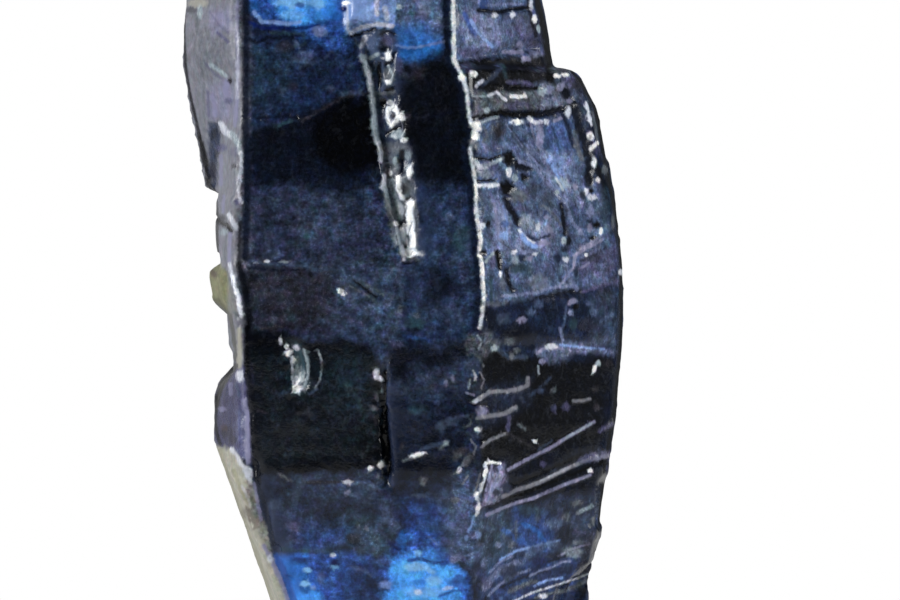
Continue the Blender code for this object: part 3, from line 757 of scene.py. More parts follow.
    Line(SLATE, (420, 450, 434, 445, 448, 441), 3.4, 0.8), Spot(GLASS, (446, 443), (3, 3), 0.7),
    Spot(WHITE, (417, 455), (8, 2.2), turn=-16, depth=0.05), Line(ASH, (402, 461, 412, 458), 2.6, 0.8),
    Spot(ASH, (423, 481), (4, 4), 0.8), Line(SLATE, (412, 495, 426, 496), 3, 0.9),
    Spot(ASH, (455, 500), (5, 3), 0.8), Spot(GLINT_PEARL, (459, 470), (2.2, 3.4), turn=20, depth=0.04),
    Line(ASH, (452, 476, 460, 468, 468, 458), 1.8, 0.8), Line(FROST, (462, 484, 468, 476), 1.8, 0.7),
    Spot(ASH, (468, 460), (6, 4), 0.9, turn=-40), Spot(ASH, (458, 455), (5, 3), 0.6),
    # the lower fissure
    Line(BLACK, (386, 360, 385, 385, 384, 410), 4.4, depth=-0.2, ragged=0.25),
    Line(BLACK, (384, 408, 386, 436, 389, 470), 8, depth=-0.28, ragged=0.25),
    Spot(GLINT_PEARL, (376, 374), (3, 5.4), depth=0.04), Spot(GLINT_PEARL, (380, 379), (3.4, 2.6)),
    Spot(SLATE, (386, 364), (3, 5), 0.9), Spot(ASH, (377, 397), (2, 5)), Spot(ASH, (374, 408), (4, 2.4)),
    Spot(SMOKE, (376, 421), (2, 6)), Spot(WHITE, (370.5, 468.5), (3, 2.6), 0.9, depth=0.05),
    Spot(WHITE, (381, 464), (2.8, 4), turn=35, depth=0.06), Spot(ASH, (378, 476), (2, 4), 0.7),
    # the step below it
    Line(ASH, (280, 475, 290, 480), 3.2, 0.9, depth=0.04),
    Line(SMOKE, (300, 483, 318, 482, 338, 482), 3.4, 0.9, depth=0.05), Spot(GLINT_PEARL, (348, 482), (5, 2)),
    Spot(LILAC, (348, 493), (3, 2.4), 0.8), Line(STEEL, (348, 494, 360, 498), 2.6, 0.8),
    Line(STEEL, (352, 484, 366, 482, 379, 489), 3, 0.7, depth=0.05), Spot(SLATE, (365, 494), (11, 9), 0.6),
    Spot(SLATE, (298, 492), (5, 14), 0.8, turn=22), Spot(SLATE, (276, 506), (8, 5), 0.7, turn=30),
    Spot(VIOLET, (294, 526), (7, 5), 0.4), Spot(VIOLET, (298, 541), (6, 3), 0.5),
    Spot(STEEL, (386, 512), (4, 12), 0.5), Spot(STEEL, (393, 527), (6, 7), 0.6),
    Spot(SMOKE, (354, 538), (8, 6), 0.7), Spot(ASH, (366, 529), (2.6, 2.6), 0.7),
    Spot(ASH, (358, 526), (2.6, 2.6), 0.5), Line(TEAL, (282, 549, 300, 551, 330, 550), 4, 0.6),
    # inside the clear blue places below, painted with a glow of light shining through them
    Spot(GLINT_PEARL, (333, 555), (3, 1.8), 0.8), Spot(ABYSS, (334.5, 562), (4.6, 3.4)),
    Spot(SKY_GLOW, (334, 567), (4, 2), 0.7), Spot(SKY_GLOW, (307, 570), (4.6, 2.6)), Spot(SKY_GLOW, (305, 584), (4.6, 3)),
    Spot(STEEL, (321, 577), (4, 5), 0.6), Spot(ABYSS, (300, 560), (8, 2.6), 0.7),
    Spot(BLOOM, (313, 588), (3, 2.4), 0.6), Spot(ABYSS, (283, 570), (3.6, 9), 0.7, turn=-20),
    Line(STEEL, (352, 566, 362, 570, 371, 575), 3, 0.6), Spot(NIGHT, (372, 584), (6, 5), 0.7),
    Spot(AZURE_GLOW, (310, 600), (14, 8), 0.7),
    Line(ABYSS, (408, 560, 422, 559, 434, 563, 447, 563), 4.4, 0.85, depth=-0.05),
    Spot(SKY_GLOW, (416, 567), (12, 4.4)), Spot(SKY_GLOW, (430, 571), (6, 2.6), 0.9, turn=25),
    Spot(SKY_GLOW, (434, 581), (8, 5), 0.7), Spot(SKY_GLOW, (424, 592), (20, 5), 0.55),
    Spot(WHITE, (418, 592), (4, 2.4), 0.5), Spot(SKY_GLOW, (418, 553), (4, 3), 0.7),
    Spot(OCEAN, (420, 582), (6, 3), 0.6), Spot(GLINT_PEARL, (448, 588), (6, 2), 0.6, turn=-10),
    Line(ABYSS, (440, 596, 454, 591, 466, 590), 3.6, 0.8), Spot(BLOOM, (386, 585), (7, 4), 0.7),
    Spot(OCEAN, (402, 541), (4, 9), 0.6), Spot(STEEL, (384, 562), (8, 5), 0.5),
    Spot(COBALT, (460, 582), (9, 8), 0.9), Spot(HAZE, (456, 558), (7, 4), 0.7, turn=-30),
    Line(ABYSS, (390, 542, 398, 550), 3, 0.7), Line(STEEL, (428, 537, 438, 545), 2.6, 0.6),
    Spot(STEEL, (462, 536), (10, 14), 0.5),
)

RIDGE = (
    453, -90, 453, 0, 454, 60, 462, 76, 467, 90, 469, 118, 474, 128, 474, 140, 470, 149, 472, 162, 474, 172,
    476, 190, 476, 210, 478, 225, 481, 240, 479, 253, 482, 264, 483, 282, 484, 298, 482, 315, 480, 327,
)
RIDGE_SHADE = tuple(value - 6 * (turn % 2 == 0) for turn, value in enumerate(RIDGE))

# Lines and spots of the right side, of the ridge in front of it and of its outer edge.
RIGHT_LINES = (
    # The ridge: painted shade beside it, then its worn, raised edge with a painted highlight along it.
    Line(NIGHT, RIDGE_SHADE, 6, 0.8, ragged=0.3),
    Line(GLASS, RIDGE, 4.4, depth=0.04, ragged=0.15, beads=0.3),
    Line(WHITE, RIDGE, 3.2, ragged=0.25, beads=0.45), Spot(WHITE, (462, 78), (4, 3.4), turn=30),
    Spot(WHITE, (473, 74), (4, 3.4), turn=20, depth=0.05), Line(GLINT_PEARL, (476, 86, 483, 80), 3, 0.8),
    Line(GLASS, (472, 96, 492, 97), 2.6, 0.6), Spot(WHITE, (476, 126), (5.4, 5), depth=0.05),
    Spot(WHITE, (476, 136), (3.6, 4.4)), Spot(ASH, (474, 144), (5, 5), 0.8),
    Line(GLINT_PEARL, (474, 162, 479, 167, 486, 167), 4.6), Line(GLASS, (484, 166, 494, 163, 503, 158), 3.2, 0.9),
    Line(BLACK, (476, 158, 488, 160, 500, 156), 3.2, depth=-0.14, ragged=0.3),
    Spot(GLASS, (485, 174), (8, 4), 0.8, depth=0.06),
    Line(BLACK, (478, 181, 496, 180), 2.8, depth=-0.12, ragged=0.3),
    Line(GLINT_PEARL, (478, 186, 498, 185), 4, 0.95, depth=0.05), Spot(VIOLET, (490, 170), (12, 8), 0.4),
    Spot(GLINT_PEARL, (481, 226), (4, 4)), Spot(BLACK, (488, 224), (2.6, 3)),
    Spot(BLACK, (483, 253), (4, 3), depth=-0.08), Line(GLASS, (486, 262, 491, 256, 494, 253), 3.4, 0.9),
    Spot(VIOLET, (492, 262), (4, 6), 0.8), Line(TEAL, (491, 278, 491, 302), 4, 0.9),
    # the upper block
    Line(COBALT, (465, 14, 470, 27, 475, 34), 5, 0.75), Line(BLOOM, (471, 20, 479, 34, 493, 47), 3.4, 0.8),
    Spot(HAZE, (488, 30), (13, 9), 0.5), Spot(VIOLET, (472, 53), (13, 6), 0.8),
    Spot(COBALT, (484, 4), (4, 6), 0.6), Line(NIGHT, (478, 10, 500, 12, 512, 9, 530, 7), 4.6, depth=-0.14),
    Line(HAZE, (488, 5, 506, 4, 522, 4), 2.6, 0.5), Spot(GLINT_PEARL, (494.5, 15.5), (3.4, 2.4)),
    Spot(GLINT_PEARL, (513, 15), (2.6, 3)), Spot(LILAC, (520, 45), (3, 4), 0.8),
    Line(LILAC, (503, 52, 522, 52), 4, 0.9), Spot(LILAC, (536, 54), (8, 4), 0.4),
    Spot(SMOKE, (534, 34), (8, 14), 0.4), Line(BLACK, (526, -90, 529, 8, 536, 36), 4, 0.8),
    # Painted shade along the upper block's outline, and painted glints on it.
    Line(BLACK, (534, -90, 537, 0, 542, 20, 546, 40, 549, 60, 550, 80), 7, ragged=0.15),
    Spot(GLINT_PEARL, (531, 5), (2, 6)), Spot(WHITE, (534.6, 19), (2.4, 4)), Spot(GLASS, (538.5, 29), (2, 4), 0.9),
    # the broken step under it
    Spot(VIOLET, (468, 67), (7, 5), 0.35), Line(SLATE, (484, 84, 494, 76, 502, 66), 5, 0.8, depth=0.05),
    Line(TEAL, (503, 66, 506, 78), 4, 0.9), Line(VIOLET, (508, 82, 520, 82, 532, 85), 4, 0.85, depth=0.05),
    Line(BLACK, (508, 89, 540, 88), 4, depth=-0.12), Spot(LILAC, (526.5, 59), (5, 2.6)),
    Spot(SMOKE, (538, 68), (10, 12), 0.5), Spot(BLACK, (492, 88), (10, 4), 0.9, depth=-0.1),
    Line(WHITE, (511, 96, 518, 96.5, 525, 96), 3.6, 0.85, depth=0.05),
    Line(GLINT_PEARL, (488, 96, 497, 92, 502, 98, 506, 100), 3, 0.8), Spot(VIOLET, (516, 105), (12, 4), 0.7),
    Spot(GLASS, (487, 110), (3.4, 2.6)), Spot(GLASS, (542, 92), (4.4, 4.4), 0.8),
    Spot(LILAC, (561, 87), (4, 4.4), depth=0.05), Spot(NIGHT, (566, 92), (5, 5)),
    Spot(NAVY, (549, 96), (4, 2), 0.8), Spot(HAZE, (550, 89), (4, 3), 0.7),
    Line(BLACK, (474, 118, 486, 116, 500, 112, 515, 115, 540, 114, 564, 108), 6.4, depth=-0.2, ragged=0.3),
    Line(NIGHT, (540, 113, 564, 109), 5, 0.8), Line(GLASS, (482, 122, 492, 118, 498, 117), 3, 0.8),
    Spot(WHITE, (517, 122), (6, 2.6), depth=0.05),
    Line(GLINT_PEARL, (529, 118, 535, 123, 541, 122), 4, 0.9, depth=0.04), Spot(GLINT_PEARL, (546, 122), (3, 3), 0.9),
    Line(LILAC, (554, 121, 563, 117), 3.4, 0.9), Spot(NIGHT, (528, 125), (3, 2), 0.8),
    # the shoulder and the outer edge: painted glints on the rim, and painted shade along its outline
    Spot(ASH, (562, 69), (12, 5), 0.8), Spot(WHITE, (557, 76), (3.4, 2)), Spot(WHITE, (565, 74.5), (4, 1.8)),
    Spot(SMOKE, (578, 84), (5, 7), 0.8, turn=30),
    Line(NIGHT, (566, 95, 575, 108, 578, 125, 584, 142, 588, 156,
        590, 170), 9, 0.95, depth=-0.08, ragged=0.2),
    Line(NAVY, (563, 114, 569, 130, 573, 146), 4.4, 0.95, depth=-0.06, ragged=0.2),
    Spot(GLINT_PEARL, (568, 112), (2.8, 5.6)), Line(ASH, (575, 132, 577, 146, 582, 160), 4.6, 0.8),
    Spot(LILAC, (569, 101), (3.4, 2.4), 0.8),
    Line(BLACK, (572, 72, 580, 80, 586, 92, 592, 101, 597, 114, 600, 128, 602, 145, 605, 162, 609, 180,
        612, 197, 616, 218, 620, 240, 621, 268, 621, 300, 621, 335, 619, 362, 617, 385, 615, 408, 610, 436,
        605, 462, 602, 490, 600, 520, 596, 545, 591, 570, 584, 592, 570, 620,
        540, 700), 3.2, 0.9, ragged=0.15),
    Line(ASH, (592, 112, 596, 130, 597, 140), 3, 0.8),
    Line(GLINT_PEARL, (586, 103, 588.5, 114, 591, 124), 3.4, ragged=0.4, beads=0.3),
    Spot(WHITE, (590, 136), (3.2, 4.4)), Line(WHITE, (597, 143, 591, 149), 4),
    Spot(GLINT_PEARL, (594, 162), (2.6, 5)), Spot(WHITE, (597.5, 180), (2.4, 2.6)), Spot(ASH, (605, 170), (3, 5)),
    Spot(ASH, (613, 222), (1.8, 8), 0.8), Spot(GLINT_PEARL, (621, 272), (2.4, 3)),
    # the wide face
    Line(HAZE, (506, 124, 520, 143, 538, 165, 560, 190), 2.2, 0.7),
    Line(STEEL, (513, 122, 530, 146, 545, 168), 2.2, 0.8),
    Line(NIGHT, (509, 126, 524, 146, 540, 164), 1.8, 0.6), Line(HAZE, (500, 136, 514, 152, 520, 160), 2, 0.5),
    Line(LILAC, (531, 124, 534, 138, 540, 150), 2.2, 0.6),
    Line(NIGHT, (552, 126, 556, 140, 560, 152), 2, 0.5), Line(LILAC, (494, 204, 497, 222, 500, 240), 3, 0.8),
    Line(BLOOM, (503, 206, 507, 222, 507, 240), 2.4, 0.7),
    Line(BLOOM, (548, 160, 558, 176, 566, 190), 2.6, 0.8), Line(GLINT_PEARL, (556, 178, 563, 190), 2, 0.8),
    Line(LILAC, (574, 256, 588, 248, 602, 240), 2.4, 0.8),
    Line(VIOLET, (578, 270, 594, 262, 610, 252), 3, 0.8),
    Line(NIGHT, (580, 262, 594, 255, 606, 247), 1.8, 0.7),
    Line(LILAC, (560, 286, 566, 276, 574, 268), 2.4, 0.7),
    Line(HAZE, (516, 246, 524, 252, 536, 252), 2.4, 0.9),
    Line(GLINT_PEARL, (519, 230, 526, 238, 534, 243), 2.6, 0.9),
    Spot(SMOKE, (499, 131), (6, 9), depth=0.1, soft=0.7), Line(ASH, (484, 128, 488, 136, 483, 142), 3, 0.7),
    Spot(VIOLET, (492, 147), (9, 5), 0.5), Line(SLATE, (512, 134, 520, 146, 536, 156), 3.4, 0.8),
    Line(HAZE, (520, 128, 534, 142, 546, 152), 3, 0.4), Spot(LILAC, (540, 134), (4, 12), 0.7),
    Spot(HAZE, (530, 152), (4, 9), 0.4), Spot(NAVY, (524, 141), (4, 2.4), 0.6),
    Spot(BLACK, (509, 158), (6.4, 8), depth=-0.12), Spot(NIGHT, (522, 166), (12, 5), turn=12, depth=-0.08),
    Spot(BLACK, (524, 177), (4, 4.4), depth=-0.08), Spot(GLINT_PEARL, (509, 172), (2.6, 5), 0.9, depth=0.04),
    Spot(GLASS, (515, 178), (3, 4), 0.8), Spot(BLACK, (507, 188), (7, 9), depth=-0.12),
    Line(ABYSS, (505, 200, 510, 208, 515, 217, 518, 223), 8, 0.6, depth=-0.1),
    Line(BLACK, (505, 200, 510, 208, 515, 217, 518, 223), 6.4, 0.9), Spot(ASH, (519, 196), (9, 6), 0.85),
    Spot(SMOKE, (540, 192), (14, 10), 0.4, turn=30), Spot(VIOLET, (522, 209), (7, 3), 0.8),
    Line(HAZE, (520, 161, 535, 167, 545, 180, 557, 192, 566, 204), 4, 0.9, depth=0.05),
    Line(HAZE, (566, 204, 572, 222, 582, 233), 4, 0.8, depth=0.04),
    Line(ASH, (544, 206, 554, 215, 562, 226), 3.4, 0.7, depth=0.04),
    Line(NIGHT, (561, 204, 564, 222, 565, 234), 4.4, depth=-0.08), Spot(NIGHT, (569, 241), (2.6, 5)),
    Spot(NAVY, (558, 258), (4, 6), 0.9), Spot(BLOOM, (557, 164), (10, 8), 0.5, turn=30),
    Spot(GLASS, (564, 184), (5, 6), 0.7), Spot(GLASS, (557, 192), (2.4, 2)),
    Spot(LILAC, (575, 187), (2.4, 3.4)), Spot(NIGHT, (589, 178), (4.6, 10), depth=-0.06),
    Spot(STEEL, (576, 170), (6, 8), 0.6), Line(NIGHT, (565, 205, 566, 210), 3, 0.5),
    Spot(GLINT_PEARL, (586, 192), (2.6, 3.4)), Spot(GLINT_PEARL, (592, 197.5), (4.4, 3)),
    Spot(BLACK, (591, 191), (3, 2.6)), Spot(HAZE, (590, 211), (3.4, 7), 0.9),
    Spot(NIGHT, (583, 196), (3, 5), 0.8), Spot(NIGHT, (590, 221), (4, 2.4), 0.8),
    Spot(BLACK, (597, 225), (4, 3.4), turn=30), Spot(WHITE, (601, 231), (1.8, 3.4), turn=15),
    Spot(LILAC, (590, 228), (2.6, 4), 0.8), Spot(TEAL, (605, 205), (6, 18), 0.6),
    Line(LILAC, (582, 249, 590, 245, 596, 239), 5, 0.9, depth=0.05), Spot(NIGHT, (592, 238), (4, 2)),
    Spot(SMOKE, (592, 258), (10, 4), 0.6, turn=-10), Spot(HAZE, (500, 222), (7, 20), 0.5),
    Spot(BLOOM, (504, 236), (5, 4), 0.8), Spot(COBALT, (506, 224), (4, 3), 0.5),
    Spot(GLASS, (526, 222), (7, 7), 0.5), Spot(GLINT_PEARL, (538, 227), (3, 4.4), 0.85),
    Spot(LILAC, (548, 229), (4, 4), 0.7), Spot(LILAC, (546, 217), (2.4, 2.4), 0.8),
    Line(NAVY, (527, 235, 535, 240, 549, 236), 3, 0.9, depth=-0.05),
    Line(BLOOM, (522, 235, 526, 242, 535, 247), 5, depth=0.05), Spot(LILAC, (544, 243), (6, 2.6)),
    Spot(GLINT_PEARL, (514, 252), (3.4, 2.4), turn=-20), Spot(GLASS, (515, 260), (4, 5), 0.6),
    Spot(GLINT_PEARL, (535, 254), (3, 1.5), turn=-15), Spot(LILAC, (530, 258), (4, 2), 0.8, turn=-30),
    Spot(NAVY, (522, 258), (4, 4), 0.9, depth=-0.06), Spot(TEAL, (518, 268), (10, 5), 0.8),
    Spot(GLASS, (564, 241), (2.6, 3.4), 0.9), Spot(NIGHT, (564, 250), (3, 3), 0.8),
    Spot(GLINT_PEARL, (566, 260), (3, 2.6), 0.9, turn=40, depth=0.04), Spot(GLINT_PEARL, (586, 254.5), (2, 1.6)),
    Line(LILAC, (583, 267, 589, 263), 2, 0.8),
    Line(LILAC, (574, 266, 575, 256, 583, 249), 3.4, 0.9, depth=0.04),
    Line(HAZE, (566, 266, 569, 278, 577, 289), 4.4, 0.7, depth=0.04), Spot(NAVY, (576, 272), (2.4, 6), 0.8),
    Line(BLACK, (497, 252, 499, 260, 500, 268), 5.4, depth=-0.1),
    Line(NIGHT, (506, 270, 509, 284, 513, 291), 5, depth=-0.1), Spot(GLINT_PEARL, (500.5, 274), (1.9, 3)),
    Spot(ASH, (503, 283), (3, 8), 0.7), Spot(FROST, (538, 282), (10, 8), 0.45),
    Spot(VIOLET, (545, 269), (12, 7), 0.4), Spot(TEAL, (528, 270), (8, 8), 0.3),
    Line(HAZE, (503, 296, 518, 295, 534, 293, 550, 288, 572, 286), 3.4, 0.8, depth=0.05),
    Line(NIGHT, (536, 298, 556, 294, 572, 291), 3.6, 0.9, depth=-0.05),
    Line(VIOLET, (582, 292, 596, 287, 618, 281), 3, 0.8, depth=0.04),
    Line(ASH, (484, 303, 494, 305, 506, 302), 5, 0.7),
    # the darker band under it
    Spot(NIGHT, (491, 322), (6, 12), 0.8), Spot(SLATE, (503, 318), (6, 6), 0.9, turn=30),
    Spot(LILAC, (522, 320), (4.4, 3.4)), Spot(STEEL, (532, 312), (5, 3)),
    Spot(STEEL, (539, 304), (5, 4), 0.7, turn=-30), Spot(INK, (520, 333), (18, 9), 0.7),
    Spot(LILAC, (572, 302), (5, 3), 0.9, turn=-20), Spot(HAZE, (571, 313), (3, 3)),
    Spot(BLACK, (576, 307), (4, 2.4), turn=-30), Spot(STEEL, (593, 312), (4, 4)),
    Spot(STEEL, (590, 304), (5, 2.6), 0.7, turn=20), Spot(TEAL, (573, 324), (4, 6), 0.9),
    Line(STEEL, (566, 306, 565, 320, 562, 330), 2.6, 0.8, depth=0.03),
    Line(HAZE, (560, 328, 563, 340), 3, 0.7), Line(STEEL, (600, 321, 612, 314), 3.4, 0.8),
    Spot(SMOKE, (588, 326), (10, 7), 0.5), Line(STEEL, (612, 330, 614, 345), 4, 0.5),
    Area(HAZE, (534, 350, 550, 343, 565, 341, 600, 346, 616, 352, 576, 354, 566, 361, 548, 363,
        540, 356), 0.6, soft=3.5, ragged=3, side=NEAR),
    Line(LILAC, (537, 353, 548, 347, 562, 349), 3, 0.8),
    Line(BLOOM, (560, 345, 580, 347, 604, 349), 2.4, 0.7), Spot(GLINT_PEARL, (551, 346.5), (6, 3), 0.95),
    Spot(LILAC, (542, 361), (3.4, 2.6)), Line(GLASS, (538, 366, 539, 374), 2, 0.8),
    Spot(NAVY, (576, 358), (10, 4), 0.7),
    Area(ASH, (466, 338, 486, 330, 502, 344, 492, 352, 478, 360, 466, 350), 0.6, soft=4, ragged=3, side=NEAR),
    Spot(GLASS, (495, 348), (4, 3), 0.75, depth=0.04),
    Line(SLATE, (500, 350, 508, 357, 526, 357), 4.4, 0.9, depth=0.05), Spot(ASH, (512, 356.5), (3, 3)),
    Spot(ASH, (510, 342), (6, 4), 0.7), Spot(ASH, (517, 350), (4, 2.4), 0.8),
    # low on the right side
    Line(GLINT_PEARL, (473, 371, 476, 376, 475, 380), 2.2, 0.9), Line(GLASS, (470, 380, 469, 389), 2, 0.8),
    Line(LILAC, (466, 393, 474, 395), 2, 0.9), Spot(SLATE, (474, 365), (8, 8), 0.7),
    Line(GLASS, (478, 336, 482, 342, 479, 349), 2.2, 0.8), Line(ASH, (472, 352, 480, 358, 484, 366), 2, 0.8),
    Line(FROST, (480, 372, 484, 380, 481, 388), 1.8, 0.7), Line(GLINT_PEARL, (474, 402, 482, 397), 4, 0.9),
    Line(FROST, (480, 398, 490, 392, 505, 391, 516, 390, 528, 385, 528, 378), 4, 0.95, depth=0.05),
    Line(BLACK, (472, 405, 486, 405), 3.4, depth=-0.08), Spot(LILAC, (482, 411), (6, 5), 0.7),
    Line(FROST, (478, 418, 490, 416, 505, 414, 516, 407), 4.2, 0.9, depth=0.05),
    Line(VIOLET, (509, 416, 508, 430), 4, 0.7), Spot(WHITE, (477.5, 430), (3, 2), turn=20, depth=0.05),
    Line(FROST, (470, 440, 476, 446, 474, 454), 2, 0.8), Line(ASH, (464, 428, 470, 424, 472, 416), 2, 0.7),
    Line(FROST, (482, 447, 490, 440, 507, 433), 3.2, 0.9, depth=0.04),
    Line(SMOKE, (507, 433, 522, 441, 534, 448), 2.6, 0.8), Line(ASH, (518, 424, 525, 429), 3, 0.9),
    Spot(WHITE, (535, 441.5), (1.9, 1.7)), Spot(STEEL, (541, 391), (3, 3), 0.7),
    Spot(ASH, (553, 390), (2.4, 2.4), 0.6), Spot(VIOLET, (554, 409), (3, 4), 0.6),
    Spot(VIOLET, (566, 407), (4, 4), 0.8, turn=-30),
    Line(FROST, (573, 401, 582, 401, 590, 399), 3, 0.85, depth=0.04), Spot(SMOKE, (597, 407), (3, 4)),
    Line(SLATE, (530, 396, 540, 388, 550, 378), 3, 0.6), Spot(SMOKE, (596, 390), (3, 3)),
    Spot(WHITE, (594.5, 369), (2, 5), turn=28, depth=0.05), Spot(GLASS, (598, 363), (2.4, 3)),
    Spot(SMOKE, (608, 363), (5, 4), 0.9), Line(VIOLET, (600, 431, 612, 424), 4.4, 0.9),
    # the long scratches
    Line(BLACK, (512, 464, 530, 453, 552, 442, 576, 429), 3, 0.8),
    Line(LILAC, (508, 470, 524, 461, 536, 455, 552, 447, 566, 438, 580, 430,
        594, 422), 3.4, 0.8, depth=0.03, ragged=0.06),
    Line(GLASS, (566, 438, 580, 430, 592, 423), 2.2, 0.6), Line(SLATE, (538, 450, 552, 441), 2.4, 0.6),
    Spot(VIOLET, (543, 464), (3, 3)), Spot(SLATE, (552, 470), (5, 3), 0.6),
    Line(BLACK, (514, 484, 540, 474, 566, 462, 580, 455), 3.6, 0.9, depth=-0.03, ragged=0.1),
    Line(FROST, (503, 497, 516, 490, 530, 486, 545, 480, 560, 472, 575, 465, 590, 459,
        608, 456), 4, 0.9, depth=0.03, ragged=0.06),
    Spot(LILAC, (598, 456), (11, 5), 0.6, turn=-12), Spot(VIOLET, (586, 459), (9, 4), 0.7, turn=-20),
    Line(GLINT_PEARL, (540, 481, 556, 474, 572, 466), 2.2, 0.3),
    Line(BLACK, (510, 498, 530, 491, 548, 484, 575, 473, 592, 466), 3.4, depth=-0.02, ragged=0.1),
    Line(LILAC, (487, 515, 500, 509, 516, 503, 534, 498, 550, 491, 566, 484, 580, 479,
        590, 475), 3.4, 0.8, depth=0.03, ragged=0.06),
    Spot(WHITE, (590, 471), (2.4, 2.2)), Line(NIGHT, (484, 508, 500, 503, 520, 498), 3, 0.9, depth=-0.06),
    Spot(BLACK, (603, 463), (5, 4)),
    Line(WHITE, (485, 463, 492, 462.5, 500, 463), 2.6, depth=0.05, ragged=0.3),
    Line(GLINT_PEARL, (485, 464, 487, 471, 484, 480, 481, 490, 477, 499), 3, depth=0.05, ragged=0.4, beads=0.3),
    Line(LILAC, (492, 466, 490, 478, 486, 490), 2.4, 0.9),
    Line(HAZE, (500, 466, 496, 478, 492, 490, 488, 500), 2.6, 0.8),
    Line(FROST, (480, 474, 477, 486, 474, 496), 2, 0.8),
    Line(NIGHT, (489, 468, 487, 478, 484, 488), 1.6, 0.7),
    Line(GLINT_PEARL, (478, 500, 480, 507, 476, 515), 2.6, 0.9),
    Line(BLOOM, (474, 516, 472, 524, 468, 532), 2.4, 0.9), Spot(WHITE, (485, 473), (1.8, 4), 0.9, turn=15),
    Spot(WHITE, (477, 494), (2, 3), turn=20), Spot(WHITE, (478, 507), (2, 4), turn=15, depth=0.05),
    Spot(BLOOM, (466, 538), (2, 2.6), 0.8), Spot(NIGHT, (496, 493), (4, 4), 0.8),
    Spot(DUSK, (506, 488), (5, 5), 0.9), Spot(NIGHT, (496, 470), (3, 3), 0.6),
    Spot(BLOOM, (478, 535), (3.6, 4), 0.6), Spot(NIGHT, (472, 484), (2.6, 10), 0.7, turn=10),
    # the mottled blue part under them
    Area(DUSK, (584, 526, 620, 520, 622, 566, 580, 572), 0.3, ragged=2, depth=0.34, side=NEAR),
    Area(DUSK, (572, 580, 616, 578, 640, 760, 556, 760), 0.3, soft=5, ragged=2, depth=-0.3, side=NEAR),
    Line(BLACK, (500, 588, 520, 578, 548, 570), 2.6, 0.7),
    Line(HAZE, (488, 596, 500, 584, 516, 574, 530, 570), 2.6, 0.8),
    Line(GLINT_PEARL, (512, 602, 534, 592, 560, 584, 588, 574), 2, 0.7),
    Line(BLACK, (520, 604, 545, 596, 580, 584), 2.4, 0.7),
    Line(BLOOM, (500, 560, 516, 551, 536, 546, 560, 540), 2.4, 0.8),
    Line(HAZE, (490, 572, 500, 562, 512, 556), 2.6, 0.75),
    Line(COBALT, (504, 530, 516, 540, 530, 544), 6, 0.7), Line(OCEAN, (524, 524, 536, 530, 544, 540), 5, 0.5),
    Line(LILAC, (558, 556, 574, 548, 590, 544), 2.2, 0.8),
    Line(NIGHT, (548, 562, 566, 556, 584, 552), 2.4, 0.8),
    Line(STEEL, (522, 562, 531, 551, 545, 545, 557, 543), 8, 0.75, depth=0.04),
    Spot(ABYSS, (540, 563), (8, 6), 0.5), Spot(NIGHT, (555, 556), (6, 5), 0.7),
    Spot(ASH, (512.5, 544), (4, 4), 0.7), Spot(SLATE, (508, 540), (6, 5), 0.6),
    Spot(HAZE, (498, 545), (3.4, 3), 0.6), Line(ASH, (516, 522, 516, 538), 3, 0.5),
    Spot(TEAL, (530, 510), (12, 6), 0.7), Spot(STEEL, (553, 524), (10, 5), 0.8),
    Spot(ASH, (566, 517), (5, 4), 0.7), Spot(NIGHT, (566, 535), (8, 10), 0.7),
    Spot(VIOLET, (579, 533), (6, 3.4), 0.7), Spot(ASH, (578, 543), (6, 2.6), 0.7),
    Spot(ASH, (577, 503), (6, 3), 0.8, turn=-10), Line(GLASS, (578, 513, 592, 506), 4.4, 0.55),
    Spot(ASH, (593, 521), (2.4, 5)), Spot(SLATE, (538, 518), (3, 4)), Spot(SMOKE, (590, 545), (5, 14), 0.6),
    Spot(GLASS, (573, 552), (10, 5), 0.55),
    Line(HAZE, (530, 576, 540, 571, 550, 568, 562, 562, 570, 561), 2.6, 0.85, depth=0.04),
    Line(HAZE, (485, 588, 494, 576, 504, 568, 518, 562), 6.4, 0.6, depth=0.05),
    Spot(DUSK, (510, 572), (9, 7), 0.9, turn=-20), Spot(SLATE, (508, 579), (4, 3)),
    Line(ASH, (510, 591, 524, 585, 536, 581), 4.4, 0.8, depth=0.04), Spot(HAZE, (484, 563), (3, 6), 0.5),
    Line(BLOOM, (534, 586, 548, 580, 562, 578), 2.6, 0.8),
    Line(ASH, (560, 592, 578, 586, 592, 578), 4.6, 0.75),
    Line(ASH, (536, 598, 550, 593, 566, 591), 3, 0.9, depth=0.04), Spot(GLINT_PEARL, (543, 596), (4.4, 2.4)),
    Spot(SMOKE, (584, 566), (6, 12), 0.7), Spot(NAVY, (565, 570), (10, 4), 0.8),
    Spot(VIOLET, (487, 584), (6, 6), 0.5),
)

